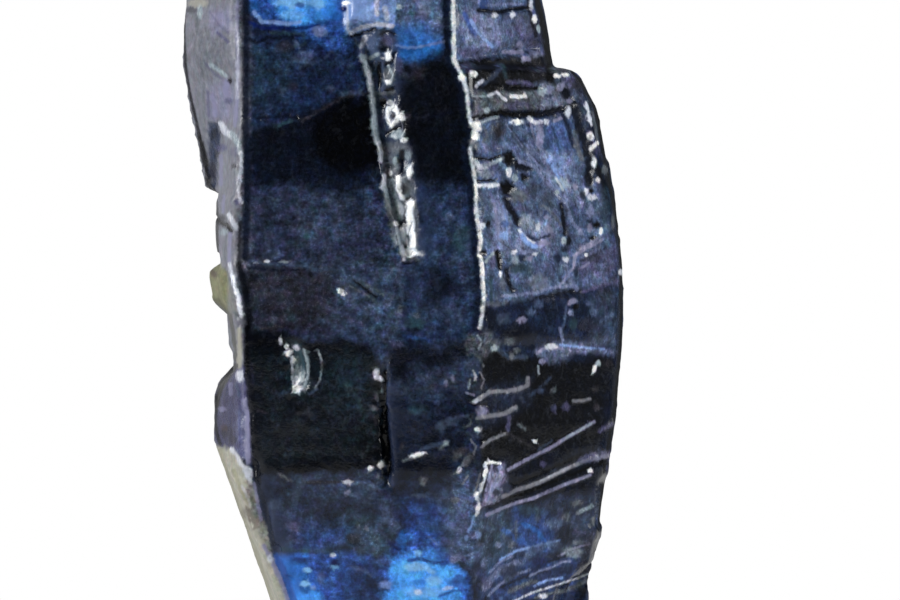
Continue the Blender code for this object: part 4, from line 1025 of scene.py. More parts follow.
# Lines and spots of the left side.
LEFT_LINES = (
    # A dark strip along the front's left edge, from top to bottom: painted shade.
    Line(NIGHT, (246, -90, 246, 20, 246, 60, 245.5, 100, 245, 126, 247, 152, 247.5, 170, 247, 190, 246.5, 222,
        245, 258), 8, 0.95, ragged=0.1),
    Line(INK, (239, 266, 244, 284, 247, 300, 249, 318, 247, 350, 248, 376, 251, 400, 254, 432, 255, 462,
        258, 482), 8, 0.95, ragged=0.1),
    Line(NIGHT, (258, 484, 263, 500, 268, 520, 273, 544), 6, 0.8, ragged=0.1),
    Line(COBALT, (276, 556, 286, 578, 294, 600, 316, 690), 6, 0.8, ragged=0.1),
    # Painted shade along the left outline.
    Line(INK, (183, -90, 184, 5, 184, 40, 186, 70, 190, 95, 196, 120, 202, 146), 3.4, 0.9, ragged=0.15),
    Line(BLACK, (200, 138, 206, 165, 209, 184, 215, 194), 6.4, 0.95, ragged=0.25),
    Line(INK, (216, 200, 217, 214, 217, 240, 218, 262), 3.4, 0.9, ragged=0.15),
    Spot(BEIGE, (198, 3), (10, 5), 0.7, side=LEFT), Spot(GLASS, (200, 12), (3, 7), 0.8, side=LEFT),
    Spot(LILAC, (220, 16), (4, 4), 0.8, side=LEFT), Spot(SMOKE, (190, 10), (6, 3), 0.6, side=LEFT),
    Line(ASH, (197, 16, 198, 34), 3, 0.6, depth=-0.03, side=LEFT),
    Line(VIOLET, (218, 33, 224, 38, 228, 42), 3.4, 0.8, depth=-0.05, side=LEFT),
    Line(VIOLET, (210, 12, 220, 26, 230, 34), 2.4, 0.4, side=LEFT),
    Line(GLASS, (211, 65, 218, 70, 226, 76), 4, 0.8, depth=0.05, side=LEFT),
    Line(VIOLET, (206, 64, 214, 74, 222, 78), 2.6, 0.5, side=LEFT),
    Spot(SMOKE, (230, 81), (2.4, 3.4), depth=-0.1, side=LEFT),
    Spot(LILAC, (226, 89), (4, 9), depth=0.05, side=LEFT), Spot(VIOLET, (229, 101), (5, 3), 0.7, side=LEFT),
    Line(LILAC, (212, 96, 215, 108, 215, 116), 4.4, 0.8, depth=0.04, side=LEFT),
    Line(VIOLET, (208, 92, 209, 116), 3, 0.5, depth=-0.03, side=LEFT),
    Line(ASH, (204, 84, 204, 130, 206, 146), 3, 0.5, side=LEFT),
    Line(FROST, (201, 100, 203, 140), 3, 0.6, side=LEFT),
    # The front's left edge, raised a little, with a painted highlight along it.
    Line(LILAC, (238, -90, 237, 20, 238, 60, 237, 100, 235, 126), 3.6, 0.8, depth=0.03, ragged=0.2),
    Line(GLINT_PEARL, (238, 34, 238, 60, 237, 80, 237, 98), 3, 0.5, ragged=0.4, beads=0.5),
    Area(DUSK, (208, 122, 218, 121, 221, 134, 220, 148, 217, 160, 217, 184, 213, 190,
        209, 168), 0.95, soft=2.5, ragged=2, depth=-0.1, side=LEFT),
    Spot(NIGHT, (214, 134), (3.4, 6), 0.8, turn=20, side=LEFT),
    Spot(VIOLET, (222, 148), (5, 4), 0.9, side=LEFT), Spot(NIGHT, (217, 155), (3, 5), 0.6, side=LEFT),
    Spot(SMOKE, (213, 172), (3, 10), 0.7, side=LEFT),
    Line(GLINT_PEARL, (221, 124, 226, 132, 234, 137), 6, 0.85, depth=0.05, side=LEFT),
    Line(GLASS, (232, 134, 239, 146, 241, 154), 6, 0.9, depth=0.04, side=LEFT),
    Spot(VIOLET, (234, 152), (6, 5), 0.4, side=LEFT),
    Line(GLINT_PEARL, (241, 152, 241, 170, 239, 184, 238, 190, 241, 203), 3.4, 0.8, depth=0.03, ragged=0.3),
    Spot(SMOKE, (234, 166), (2.4, 2.4), 0.8, depth=-0.06, side=LEFT),
    Spot(VIOLET, (237, 202), (4, 2.6), 0.9, side=LEFT), Line(LILAC, (221, 156, 221, 184), 4, 0.7, side=LEFT),
    Line(LILAC, (224, 196, 223, 212), 3, 0.7, side=LEFT),
    Line(BLACK, (216, 218, 221, 223, 227, 225, 231, 231), 4.4, depth=-0.14, ragged=0.3, side=LEFT),
    Spot(SMOKE, (222, 218), (4, 3), 0.8, side=LEFT),
    Line(GLINT_PEARL, (229, 215, 233, 222, 237, 228), 5, 0.85, depth=0.04, side=LEFT),
    Spot(GLASS, (224, 232), (4, 3), 0.7, side=LEFT), Line(LILAC, (230, 234, 229, 262), 4, 0.8, side=LEFT),
    Line(ASH, (226, 236, 225, 260), 2.4, 0.5, depth=-0.03, side=LEFT),
    Line(BLACK, (240, 222, 239, 250, 239, 264), 4, 0.8), Line(NIGHT, (246, 150, 246, 200, 243, 222), 4, 0.7),
    # the chip, the thin strip under it, the lobe and the slanting face
    Line(GLINT_PEARL, (229, 264, 233, 280, 238, 298, 241, 316), 4.6, 0.95, depth=0.04, ragged=0.3),
    Line(WHITE, (232, 276, 238, 298, 241, 314), 3, 0.7, ragged=0.3, beads=0.4),
    Spot(BROWN, (213.5, 274), (4, 4), 0.8), Spot(OLIVE, (217, 302), (5, 4), 0.6, turn=30),
    Line(OLIVE, (222, 306, 230, 316, 233, 330, 236, 360), 4.4, 0.6, ragged=0.3),
    Line(ASH, (234, 312, 244, 324), 3, 0.8, depth=-0.04),
    Line(BEIGE, (239, 330, 240, 350, 239, 366), 5, 0.9, depth=0.03),
    Spot(GLINT_PEARL, (240, 376), (4, 6), 0.9, depth=0.03), Line(BLACK, (248, 322, 247, 340, 247, 372), 4, 0.9),
    Line(BLACK, (235, 366, 228, 375, 221, 386, 217, 398, 216, 408), 6.4, ragged=0.2),
    Line(INK, (216, 408, 215, 420, 217, 434, 220, 444), 4, 0.9, ragged=0.15),
    Spot(SMOKE, (227, 432), (6, 7), 0.6, side=LEFT), Spot(BROWN, (224, 428), (3.4, 4), 0.5, side=LEFT),
    Spot(LILAC, (222, 409), (4, 2.6), 0.6, side=LEFT),
    Area(HAZE, (238, 412, 246, 412, 246, 456, 238, 456), 0.35, soft=4, side=LEFT),
    Line(LILAC, (231, 384, 231, 394), 4, 0.5, side=LEFT), Line(SLATE, (236, 384, 240, 396), 3, 0.6),
    Line(LILAC, (244, 400, 247, 415, 247, 432, 248, 462), 5, 0.95, depth=0.04, ragged=0.25),
    Spot(SMOKE, (233, 440), (4, 5), 0.6), Spot(NIGHT, (244, 462), (2.4, 4), 0.8, turn=-30, side=LEFT),
    Line(GLINT_PEARL, (232, 449, 240, 462, 248, 474, 250, 482), 4.4, 0.7, ragged=0.3),
    Spot(GLINT_PEARL, (248, 472), (4, 7), 0.8, turn=-20),
    # A darker band along the left outline of the slanting face: painted shade.
    Line(KHAKI, (220, 450, 227, 474, 234, 494, 242, 512, 247, 530, 254, 548, 261, 566, 266, 582, 273, 606,
        299, 700), 4.4, 0.4, ragged=0.0),
    Line(KHAKI, (234, 470, 240, 488, 248, 502), 4, 0.5, side=LEFT),
    Line(GLINT_PEARL, (242, 486, 248, 498, 251, 506), 3, 0.5, side=LEFT),
    Spot(OLIVE, (252, 499), (2.4, 2.6), 0.9, side=LEFT),
    Line(LILAC, (254, 484, 257, 500, 261, 520), 3.4, 0.7),
    Line(BROWN, (246, 512, 252, 518, 255, 527), 7, 0.6, ragged=0.7, side=LEFT),
    Line(BEIGE, (256, 532, 266, 548, 272, 560), 6, 0.6, side=LEFT),
    Line(LILAC, (264, 546, 272, 562, 280, 578, 288, 602, 310, 690), 4.4, 0.9, depth=0.03, ragged=0.3),
    Spot(GLINT_PEARL, (270, 559), (3, 4), 0.7),
)

ALL_LINES = (*FRONT_LINES, *RIGHT_LINES, *LEFT_LINES)


# ---- The crystal's body ----


# Its colour holds painted glints, a painted glow and painted shade besides the stone's own colours.
class Coat:
    """The paint on the crystal: for each point its colour, how dull it is, how lively its mottling is and how
    crisp, which means how much of that mottling comes from sharp shards and flakes."""

    def __init__(self, count: int, ground: Tint) -> None:
        """Starts with one colour all over.

        Args:
            count: How many points there are.
            ground: The first colour.
        """
        self.colour = np.tile(ground.linear(), (count, 1))
        self.dull = np.full(count, float(ground.value[3]))
        self.life = np.ones(count)
        self.crisp = np.full(count, 0.5)

    def lay(self, share: np.ndarray, tint: Tint, found: np.ndarray | slice = slice(None), life: float = 1.0) -> None:
        """Lays a colour over what is there.

        Args:
            share: How thick it is on each point.
            tint: The colour.
            found: The points that get it.
            life: How lively its mottling is.
        """
        self.colour[found] += (tint.linear() - self.colour[found]) * share[:, None]
        self.dull[found] += (tint.value[3] - self.dull[found]) * share
        self.life[found] += (life - self.life[found]) * share
        if tint in FLAKE_TINTS:
            self.crisp[found] += (0.7 - self.crisp[found]) * share

    def keep(self, body: bpy.types.Object) -> None:
        """Stores the paint in the mesh.

        Args:
            body: The body.
        """
        colour = body.data.attributes.new("paint", "FLOAT_COLOR", "POINT")
        rgba = np.concatenate((np.clip(self.colour, 0.0, 1.0), np.ones((len(self.colour), 1))), axis=1)
        colour.data.foreach_set("color", rgba.astype(np.float32).ravel())
        for name, values in (("dull", self.dull), ("life", self.life), ("crisp", self.crisp)):
            made = body.data.attributes.new(name, "FLOAT", "POINT")
            made.data.foreach_set("value", np.clip(values, 0.0, 1.0).astype(np.float32))


@dataclass(frozen=True)
class Mood:
    """How one side's mottling differs: how lively and how crisp it is."""

    side: Side
    life: float
    crisp: float


@dataclass
class CrystalBody:
    """The crystal's finer body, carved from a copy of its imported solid. Sizes are in millimetres."""

    node: str = "sapphire_crystal"
    name: str = "crystal_body"
    # The mesh: its first grid, how many triangles the carved one keeps, and its grain under marks, where an edge
    # of more than the longest number of grains is split. The marks' own reach is in squares.
    voxel: float = 0.12
    plain_triangles: int = 57_000
    plain_share: float = 0.75
    rich_facing: float = 0.12
    rich_heights: tuple = (4.5, 39.5)
    finest: float = 0.085
    coarsest: float = 0.14
    longest: float = 1.4
    split_facing: float = 0.2
    mark_reach: float = 1.5
    passes: int = 4
    slide: float = 0.6
    # The relief: a slow bulging, growth lines, grain, and edges worn evenly and chipped unevenly.
    bulge: float = 0.09
    bulge_cell: float = 5.0
    growth: float = 0.012
    growth_cell: tuple = (3.5, 3.5, 0.8)
    grain: float = 0.012
    grain_cell: float = 0.55
    worn: float = 0.02
    chipped: float = 0.12
    chip_cell: float = 1.1
    edge_bend: float = 0.03
    press: float = 0.6
    # The paint.
    line_cell: float = 0.3
    area_cell: float = 1.6
    moods: tuple = (Mood(Side.FRONT, 0.85, 0.42), Mood(Side.RIGHT, 0.5, 0.8), Mood(Side.LEFT, 0.2, 0.06))
    sheet: Sheet = field(default_factory=Sheet)

    def copy_solid(self) -> bpy.types.Object:
        """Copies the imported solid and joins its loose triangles.

        Returns:
            The copy.
        """
        bpy.ops.object.select_all(action="DESELECT")
        body = bpy.data.objects.new(self.name, bpy.data.objects[self.node].data.copy())
        bpy.context.scene.collection.objects.link(body)
        body.select_set(True)
        bpy.context.view_layer.objects.active = body
        bpy.ops.object.mode_set(mode="EDIT")
        bpy.ops.mesh.select_all(action="SELECT")
        bpy.ops.mesh.remove_doubles(threshold=1e-6)
        bpy.ops.object.mode_set(mode="OBJECT")
        return body

    def refine(self, body: bpy.types.Object) -> None:
        """Gives the copy an even, fine mesh.

        Args:
            body: The copy.
        """
        remesh = body.modifiers.new("fine_mesh", "REMESH")
        remesh.mode = "VOXEL"
        remesh.voxel_size = self.voxel * MM
        bpy.ops.object.modifier_apply(modifier=remesh.name)

    @staticmethod
    def read(body: bpy.types.Object) -> tuple[np.ndarray, np.ndarray]:
        """Reads the mesh.

        Args:
            body: The body.

        Returns:
            Its points in millimetres, and their outward normals.
        """
        count = len(body.data.vertices)
        points = np.empty(count * 3, np.float32)
        normals = np.empty(count * 3, np.float32)
        body.data.vertices.foreach_get("co", points)
        body.data.vertex_normals.foreach_get("vector", normals)
        return points.reshape(-1, 3).astype(float) / MM, normals.reshape(-1, 3).astype(float)

    @staticmethod
    def edge_ends(body: bpy.types.Object) -> tuple[np.ndarray, np.ndarray]:
        """Reads the edges.

        Args:
            body: The body.

        Returns:
            The numbers of the points where the edges start, and of those where they end.
        """
        ends = np.empty(len(body.data.edges) * 2, np.int32)
        body.data.edges.foreach_get("vertices", ends)
        return ends[0::2], ends[1::2]

    @staticmethod
    def move(body: bpy.types.Object, points: np.ndarray) -> None:
        """Puts the mesh's points at new places, given in millimetres."""
        body.data.vertices.foreach_set("co", (points * MM).astype(np.float32).ravel())
        body.data.update()

    def spread(self, body: bpy.types.Object, values: np.ndarray, times: int) -> np.ndarray:
        """Averages values with those of the neighbouring points.

        Args:
            body: The body, which holds the neighbours.
            values: One row or number for each point.
            times: How often to average.

        Returns:
            The averaged values.
        """
        first, second = self.edge_ends(body)
        size = len(values)
        count = np.bincount(np.concatenate((first, second)), minlength=size).clip(1)
        columns = np.atleast_2d(values.T)
        for _ in range(times):
            columns = np.stack([
                (np.bincount(first, column[second], size) + np.bincount(second, column[first], size) + column)
                / (count + 1)
                for column in columns
            ])
        return columns.T if values.ndim > 1 else columns[0]

    def evened(self, body: bpy.types.Object, normals: np.ndarray) -> np.ndarray:
        """The normals averaged over some distance, so that small dents don't count."""
        flat_way = self.spread(body, normals, 10)
        return flat_way / np.linalg.norm(flat_way, axis=1)[:, None]

    def edge_wear(self, body: bpy.types.Object, points: np.ndarray, normals: np.ndarray) -> np.ndarray:
        """Finds the outward edges.

        Args:
            body: The body.
            points: Its points.
            normals: Their normals.

        Returns:
            For each point, 0 on a flat face up to 1 on an outward edge.
        """
        bend = np.einsum("ij,ij->i", points - self.spread(body, points, 3), normals)
        return np.clip(self.spread(body, np.clip(bend / self.edge_bend, 0.0, 1.0), 2) * 1.6, 0.0, 1.0)

    @staticmethod
    def uneven_push(points: np.ndarray, cell: float, seed: int) -> np.ndarray:
        """Gives every point an uneven push across and down, which makes marks ragged.

        Args:
            points: The points, in millimetres.
            cell: The size of the unevenness, in millimetres.
            seed: Which random pattern to use.

        Returns:
            The pushes, one row for each point.
        """
        return np.stack([Noise(seed + turn).rich(points / cell, 2) for turn in (0, 1)], axis=1)

    def carve(self, body: bpy.types.Object) -> None:
        """Moves the mesh's points in and out: uneven faces, growth lines, grain and worn edges.

        The rise and fall ends just above the table, so that the crystal stands flat.

        Args:
            body: The finely meshed copy.
        """
        points, _ = self.read(body)
        self.move(body, self.spread(body, points, 2))
        points, normals = self.read(body)
        upright = smooth(0.55, 0.25, np.abs(self.evened(body, normals)[:, 2]))
        wear = self.edge_wear(body, points, normals)
        layers = np.tanh(2.0 * Noise(Seed.GROWTH).rich(points / np.array(self.growth_cell), 3))
        shift = self.bulge * Noise(Seed.BULGE).rich(points / self.bulge_cell, 2)
        shift += self.growth * upright * layers
        shift += self.grain * Noise(Seed.GRAIN).rich(points / self.grain_cell, 3)
        shift -= wear * (self.worn + self.chipped * np.abs(Noise(Seed.WEAR).rich(points / self.chip_cell, 2)))
        shift *= smooth(0.02, 0.8, points[:, 2])
        self.move(body, points + normals * shift[:, None])

    def thin_out(self, body: bpy.types.Object) -> None:
        """Merges faces where the carved mesh is flat, first on the plainer sides at the back and the ends.

        Args:
            body: The carved body.
        """
        points, normals = self.read(body)
        low, high = self.rich_heights
        rich = (normals[:, 1] < self.rich_facing) & (points[:, 2] > low) & (points[:, 2] < high)
        group = body.vertex_groups.new(name="plain")
        group.add(np.flatnonzero(~rich).tolist(), 1.0, "REPLACE")
        plain = float(np.mean(~rich))
        for group_name, ratio in (("plain", 1.0 - plain * self.plain_share), ("", 0.0)):
            count = sum(len(face.vertices) - 2 for face in body.data.polygons)
            fewer = body.modifiers.new("fewer_faces", "DECIMATE")
            fewer.vertex_group = group_name
            fewer.ratio = ratio or min(1.0, self.plain_triangles / count)
            fewer.use_collapse_triangulate = True
            bpy.ops.object.modifier_apply(modifier=fewer.name)
        body.vertex_groups.clear()

    def long_edges(self, body: bpy.types.Object) -> np.ndarray:
        """Finds the edges under lines and spots that are too long for these to be sharp.

        Args:
            body: The thinned body.

        Returns:
            For each edge, whether it is to be split.
        """
        points, normals = self.read(body)
        first, second = self.edge_ends(body)
        length = np.linalg.norm(points[first] - points[second], axis=1)
        facing = (normals[first, 1] + normals[second, 1]) < self.split_facing
        long = np.flatnonzero((length > self.finest * self.longest) & facing)
        spots = self.sheet.place((points[first[long]] + points[second[long]]) / 2)
        marked = np.zeros(len(long), bool)
        for mark in ALL_LINES:
            wanted = self.finest if mark.fine else self.coarsest
            close = np.flatnonzero(~marked & (length[long] > wanted * self.longest) & mark.around(spots))
            marked[close[mark.near(spots[close], self.mark_reach)]] = True
        picked = np.zeros(len(first), bool)
        picked[long[marked]] = True
        return picked

    def select(self, body: bpy.types.Object, picked: np.ndarray) -> None:
        """Selects some edges and nothing else.

        Args:
            body: The body.
            picked: For each edge, whether to select it.
        """
        for part in (body.data.vertices, body.data.polygons, body.data.edges):
            part.foreach_set("select", np.zeros(len(part), bool))
        body.data.edges.foreach_set("select", picked)
        first, second = self.edge_ends(body)
        corners = np.zeros(len(body.data.vertices), bool)
        corners[first[picked]] = corners[second[picked]] = True
        body.data.vertices.foreach_set("select", corners)
        bpy.context.tool_settings.mesh_select_mode = (False, True, False)

    def split_near_marks(self, body: bpy.types.Object) -> None:
        """Splits the long edges under lines and spots, and evens the new mesh out along the surface.

        Args:
            body: The thinned body.
        """
        for _ in range(self.passes):
            self.select(body, self.long_edges(body))
            bpy.ops.object.mode_set(mode="EDIT")
            bpy.ops.mesh.subdivide(number_cuts=1, ngon=False)
            bpy.ops.mesh.select_all(action="SELECT")
            bpy.ops.mesh.quads_convert_to_tris()
            bpy.ops.mesh.beautify_fill(angle_limit=math.radians(25.0))
            bpy.ops.object.mode_set(mode="OBJECT")
            points, normals = self.read(body)
            slide = self.spread(body, points, 1) - points
            slide -= normals * np.einsum("ij,ij->i", slide, normals)[:, None]
            self.move(body, points + self.slide * slide)

    def cut_marks(self, body: bpy.types.Object) -> None:
        """Cuts the lines and spots that have a depth into the surface, or raises them.

        Args:
            body: The body, split near the marks.
        """
        points, normals = self.read(body)
        flat_way = self.evened(body, normals)
        spots = self.sheet.place(points)
        push = self.uneven_push(points, self.line_cell, Seed.LINE_PUSH)
        shift = np.zeros(len(points))
        for mark in ALL_LINES:
            if mark.depth:
                found, share = mark.find(spots, push, flat_way)
                shift[found] += self.press * mark.depth * share
        self.move(body, points + flat_way * shift[:, None])

    def lay_ground(self, coat: Coat, points: np.ndarray, flat_way: np.ndarray) -> None:
        """Lays the colours that go all round: cloudy blues, bluer ends, and quiet bands behind.

        Args:
            coat: The paint so far.
            points: The mesh's points.
            flat_way: Their normals, evened out.
        """
        height = points[:, 2]
        broad = Noise(Seed.BROAD).rich(points / 4.0, 3)
        drift = Noise(Seed.DRIFT).rich(points / 2.6, 3)
        coat.lay(smooth(0.05, 0.4, broad), SLATE)
        coat.lay(smooth(0.1, 0.45, drift), INK)
        coat.lay(smooth(0.15, 0.5, -drift) * 0.7, VIOLET)
        coat.lay(0.75 * Side.LEFT.share(flat_way), FROST)
        coat.lay(0.8 * smooth(42.0, 45.5, height) * smooth(-0.3, 0.3, broad), COBALT)
        coat.lay(0.7 * smooth(5.0, 1.0, height) * smooth(-0.2, 0.4, broad), COBALT)
        bands = Noise(Seed.BANDS).rich(points / np.array((14.0, 14.0, 3.2)), 2)
        behind = smooth(0.1, 0.6, flat_way[:, 1])
        coat.lay(0.75 * behind * smooth(0.06, 0.2, bands), INK)
        coat.lay(0.35 * behind * smooth(0.1, 0.4, -bands) * smooth(-0.2, 0.2, broad), COBALT)
        coat.crisp *= 1.0 - 0.6 * behind
        coat.life *= 1.0 - 0.35 * behind
        for mood in self.moods:
            coat.crisp += (mood.crisp - coat.crisp) * mood.side.share(flat_way)

    def lay_marks(self, coat: Coat, points: np.ndarray, flat_way: np.ndarray) -> None:
        """Paints the marks: first the broad areas, then the lines and spots.

        Args:
            coat: The paint so far.
            points: The mesh's points.
            flat_way: Their normals, evened out.
        """
        spots = self.sheet.place(points)
        for marks, cell, seed in (
            ((*FRONT_AREAS, *SIDE_AREAS), self.area_cell, Seed.AREA_PUSH),
            (ALL_LINES, self.line_cell, Seed.LINE_PUSH),
        ):
            push = self.uneven_push(points, cell, seed)
            for mark in marks:
                found, share = mark.find(spots, push, flat_way)
                coat.lay(share * mark.share, mark.tint, found, mark.life)

    def vary(self, coat: Coat, points: np.ndarray, flat_way: np.ndarray) -> None:
        """Varies hue and shade from place to place, more where the paint is livelier.

        Args:
            coat: The paint so far.
            points: The mesh's points.
            flat_way: Their normals, evened out.
        """
        hue = Noise(Seed.HUE).rich(points / 1.3, 3)[:, None] * np.array((0.12, -0.03, 0.03))
        shade = Noise(Seed.SHADE).rich(points / np.array((0.7, 0.7, 0.5)), 3)[:, None] * 1.1
        for mood in self.moods:
            coat.life *= 1.0 + (mood.life - 1.0) * mood.side.share(flat_way)
        coat.colour *= np.exp((hue + shade) * coat.life[:, None])
        level = np.clip(coat.colour @ np.array((0.25, 0.5, 0.25)) / 0.1, 0.05, 4.0)
        coat.colour *= (level ** (0.2 * Side.RIGHT.share(flat_way)))[:, None]

    def paint(self, body: bpy.types.Object) -> None:
        """Paints the colours, the dullness and the liveliness on the mesh, as attributes.

        Args:
            body: The finished mesh.
        """
        points, normals = self.read(body)
        flat_way = self.evened(body, normals)
        wear = self.edge_wear(body, points, normals)
        coat = Coat(len(points), NAVY)
        self.lay_ground(coat, points, flat_way)
        self.lay_marks(coat, points, flat_way)
        chips = smooth(0.35, 0.9, wear) * smooth(0.0, 0.5, Noise(Seed.CHIPS).rich(points / 0.8, 2))
        coat.lay(chips * smooth(0.1, -0.4, -flat_way[:, 1]) * 0.7, GLASS)
        self.vary(coat, points, flat_way)
        coat.dull = np.maximum(coat.dull, 0.9 * smooth(0.35, 0.8, flat_way[:, 2]))
        coat.keep(body)

    def build(self) -> bpy.types.Object:
        """Builds the crystal's body.

        Returns:
            The finished piece.
        """
        body = self.copy_solid()
        body.data.materials.clear()
        self.refine(body)
        self.carve(body)
        self.thin_out(body)
        self.split_near_marks(body)
        self.cut_marks(body)
        self.paint(body)
        bpy.ops.object.shade_smooth()
        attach(body, "root")
        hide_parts(self.node)
        return body


# ---- Its finish ----


@dataclass(frozen=True)
class Grain:
    """One noise of the surface: grains to a unit, detail, roughness, and how strongly it counts."""

    scale: float
    detail: float = 2.0
    roughness: float = 0.5
    gain: float = 1.0


class Graph:
    """A short way to wire the nodes of a material or of the world."""

    def __init__(self, owner: bpy.types.Material | bpy.types.World) -> None:
        """Empties the owner's node tree and keeps it.

        Args:
            owner: What the nodes belong to.
        """
        owner.use_nodes = True
        self.tree = owner.node_tree
        self.tree.nodes.clear()

    def node(self, kind: str, settings: tuple = (), **inputs: object) -> bpy.types.Node:
        """Adds a node.

        Args:
            kind: The node's type, without its ShaderNode prefix.
            settings: Properties to set on it, each a name and a value.
            inputs: Values or sockets for its inputs, by number after an i, or by name with _ for a space.

        Returns:
            The node.
        """
        made = self.tree.nodes.new("ShaderNode" + kind)
        for name, value in settings:
            setattr(made, name, value)
        for name, value in inputs.items():
            key = int(name[1:]) if name[0] == "i" and name[1:].isdigit() else name.replace("_", " ")
            self.feed(made.inputs[key], value)
        return made

    def feed(self, socket: bpy.types.NodeSocket, value: object) -> None:
        """Links a socket to another, or sets its value.

        Args:
            socket: The input.
            value: A socket, or a plain value.
        """
        if isinstance(value, bpy.types.NodeSocket):
            self.tree.links.new(value, socket)
        else:
            socket.default_value = value

    def math(self, operation: str, first: object, second: object, clamp: bool = False) -> bpy.types.NodeSocket:
        """Adds one sum of two numbers and returns its result."""
        made = self.node("Math", (("operation", operation), ("use_clamp", clamp)), i0=first, i1=second)
        return made.outputs[0]

    def add(self, first: object, second: object) -> bpy.types.NodeSocket:
        """Adds two numbers up."""
        return self.math("ADD", first, second)

    def times(self, first: object, second: object) -> bpy.types.NodeSocket:
        """Multiplies two numbers."""
        return self.math("MULTIPLY", first, second)

    def swing(self, value: object, gain: float) -> bpy.types.NodeSocket:
        """Turns a value round a half into one round zero, and makes it stronger."""
        return self.times(self.math("SUBTRACT", value, 0.5), gain)

    def vector(self, operation: str, **inputs: object) -> bpy.types.NodeSocket:
        """Adds one sum of vectors and returns its result."""
        return self.node("VectorMath", (("operation", operation),), **inputs).outputs[0]

    def stretch(self, place: object, scale: tuple, turn: tuple = (0.0, 0.0, 0.0)) -> bpy.types.NodeSocket:
        """Turns and scales places."""
        return self.node("Mapping", Vector=place, Rotation=turn, Scale=scale).outputs[0]

    def noise(self, place: object, grain: Grain, output: int | str = 0) -> bpy.types.NodeSocket:
        """Reads a noise at places, by value or by colour."""
        made = self.node("TexNoise", Vector=place, Scale=grain.scale, Detail=grain.detail, Roughness=grain.roughness)
        return made.outputs[output]

    def ramp(self, value: object, low: float, high: float, top: float) -> bpy.types.NodeSocket:
        """Runs evenly from 0 at low to top at high."""
        made = self.node("MapRange", Value=value, From_Min=low, From_Max=high, To_Min=0.0, To_Max=top)
        return made.outputs[0]

    def blend(self, share: object, first: object, second: object) -> bpy.types.NodeSocket:
        """Mixes two colours by a share and returns the result."""
        return self.node("Mix", (("data_type", "RGBA"),), i0=share, i6=first, i7=second).outputs[2]

    def layer(self, name: str, output: str = "Fac") -> bpy.types.NodeSocket:
        """Reads one painted layer."""
        return self.node("Attribute", (("attribute_name", name),)).outputs[output]


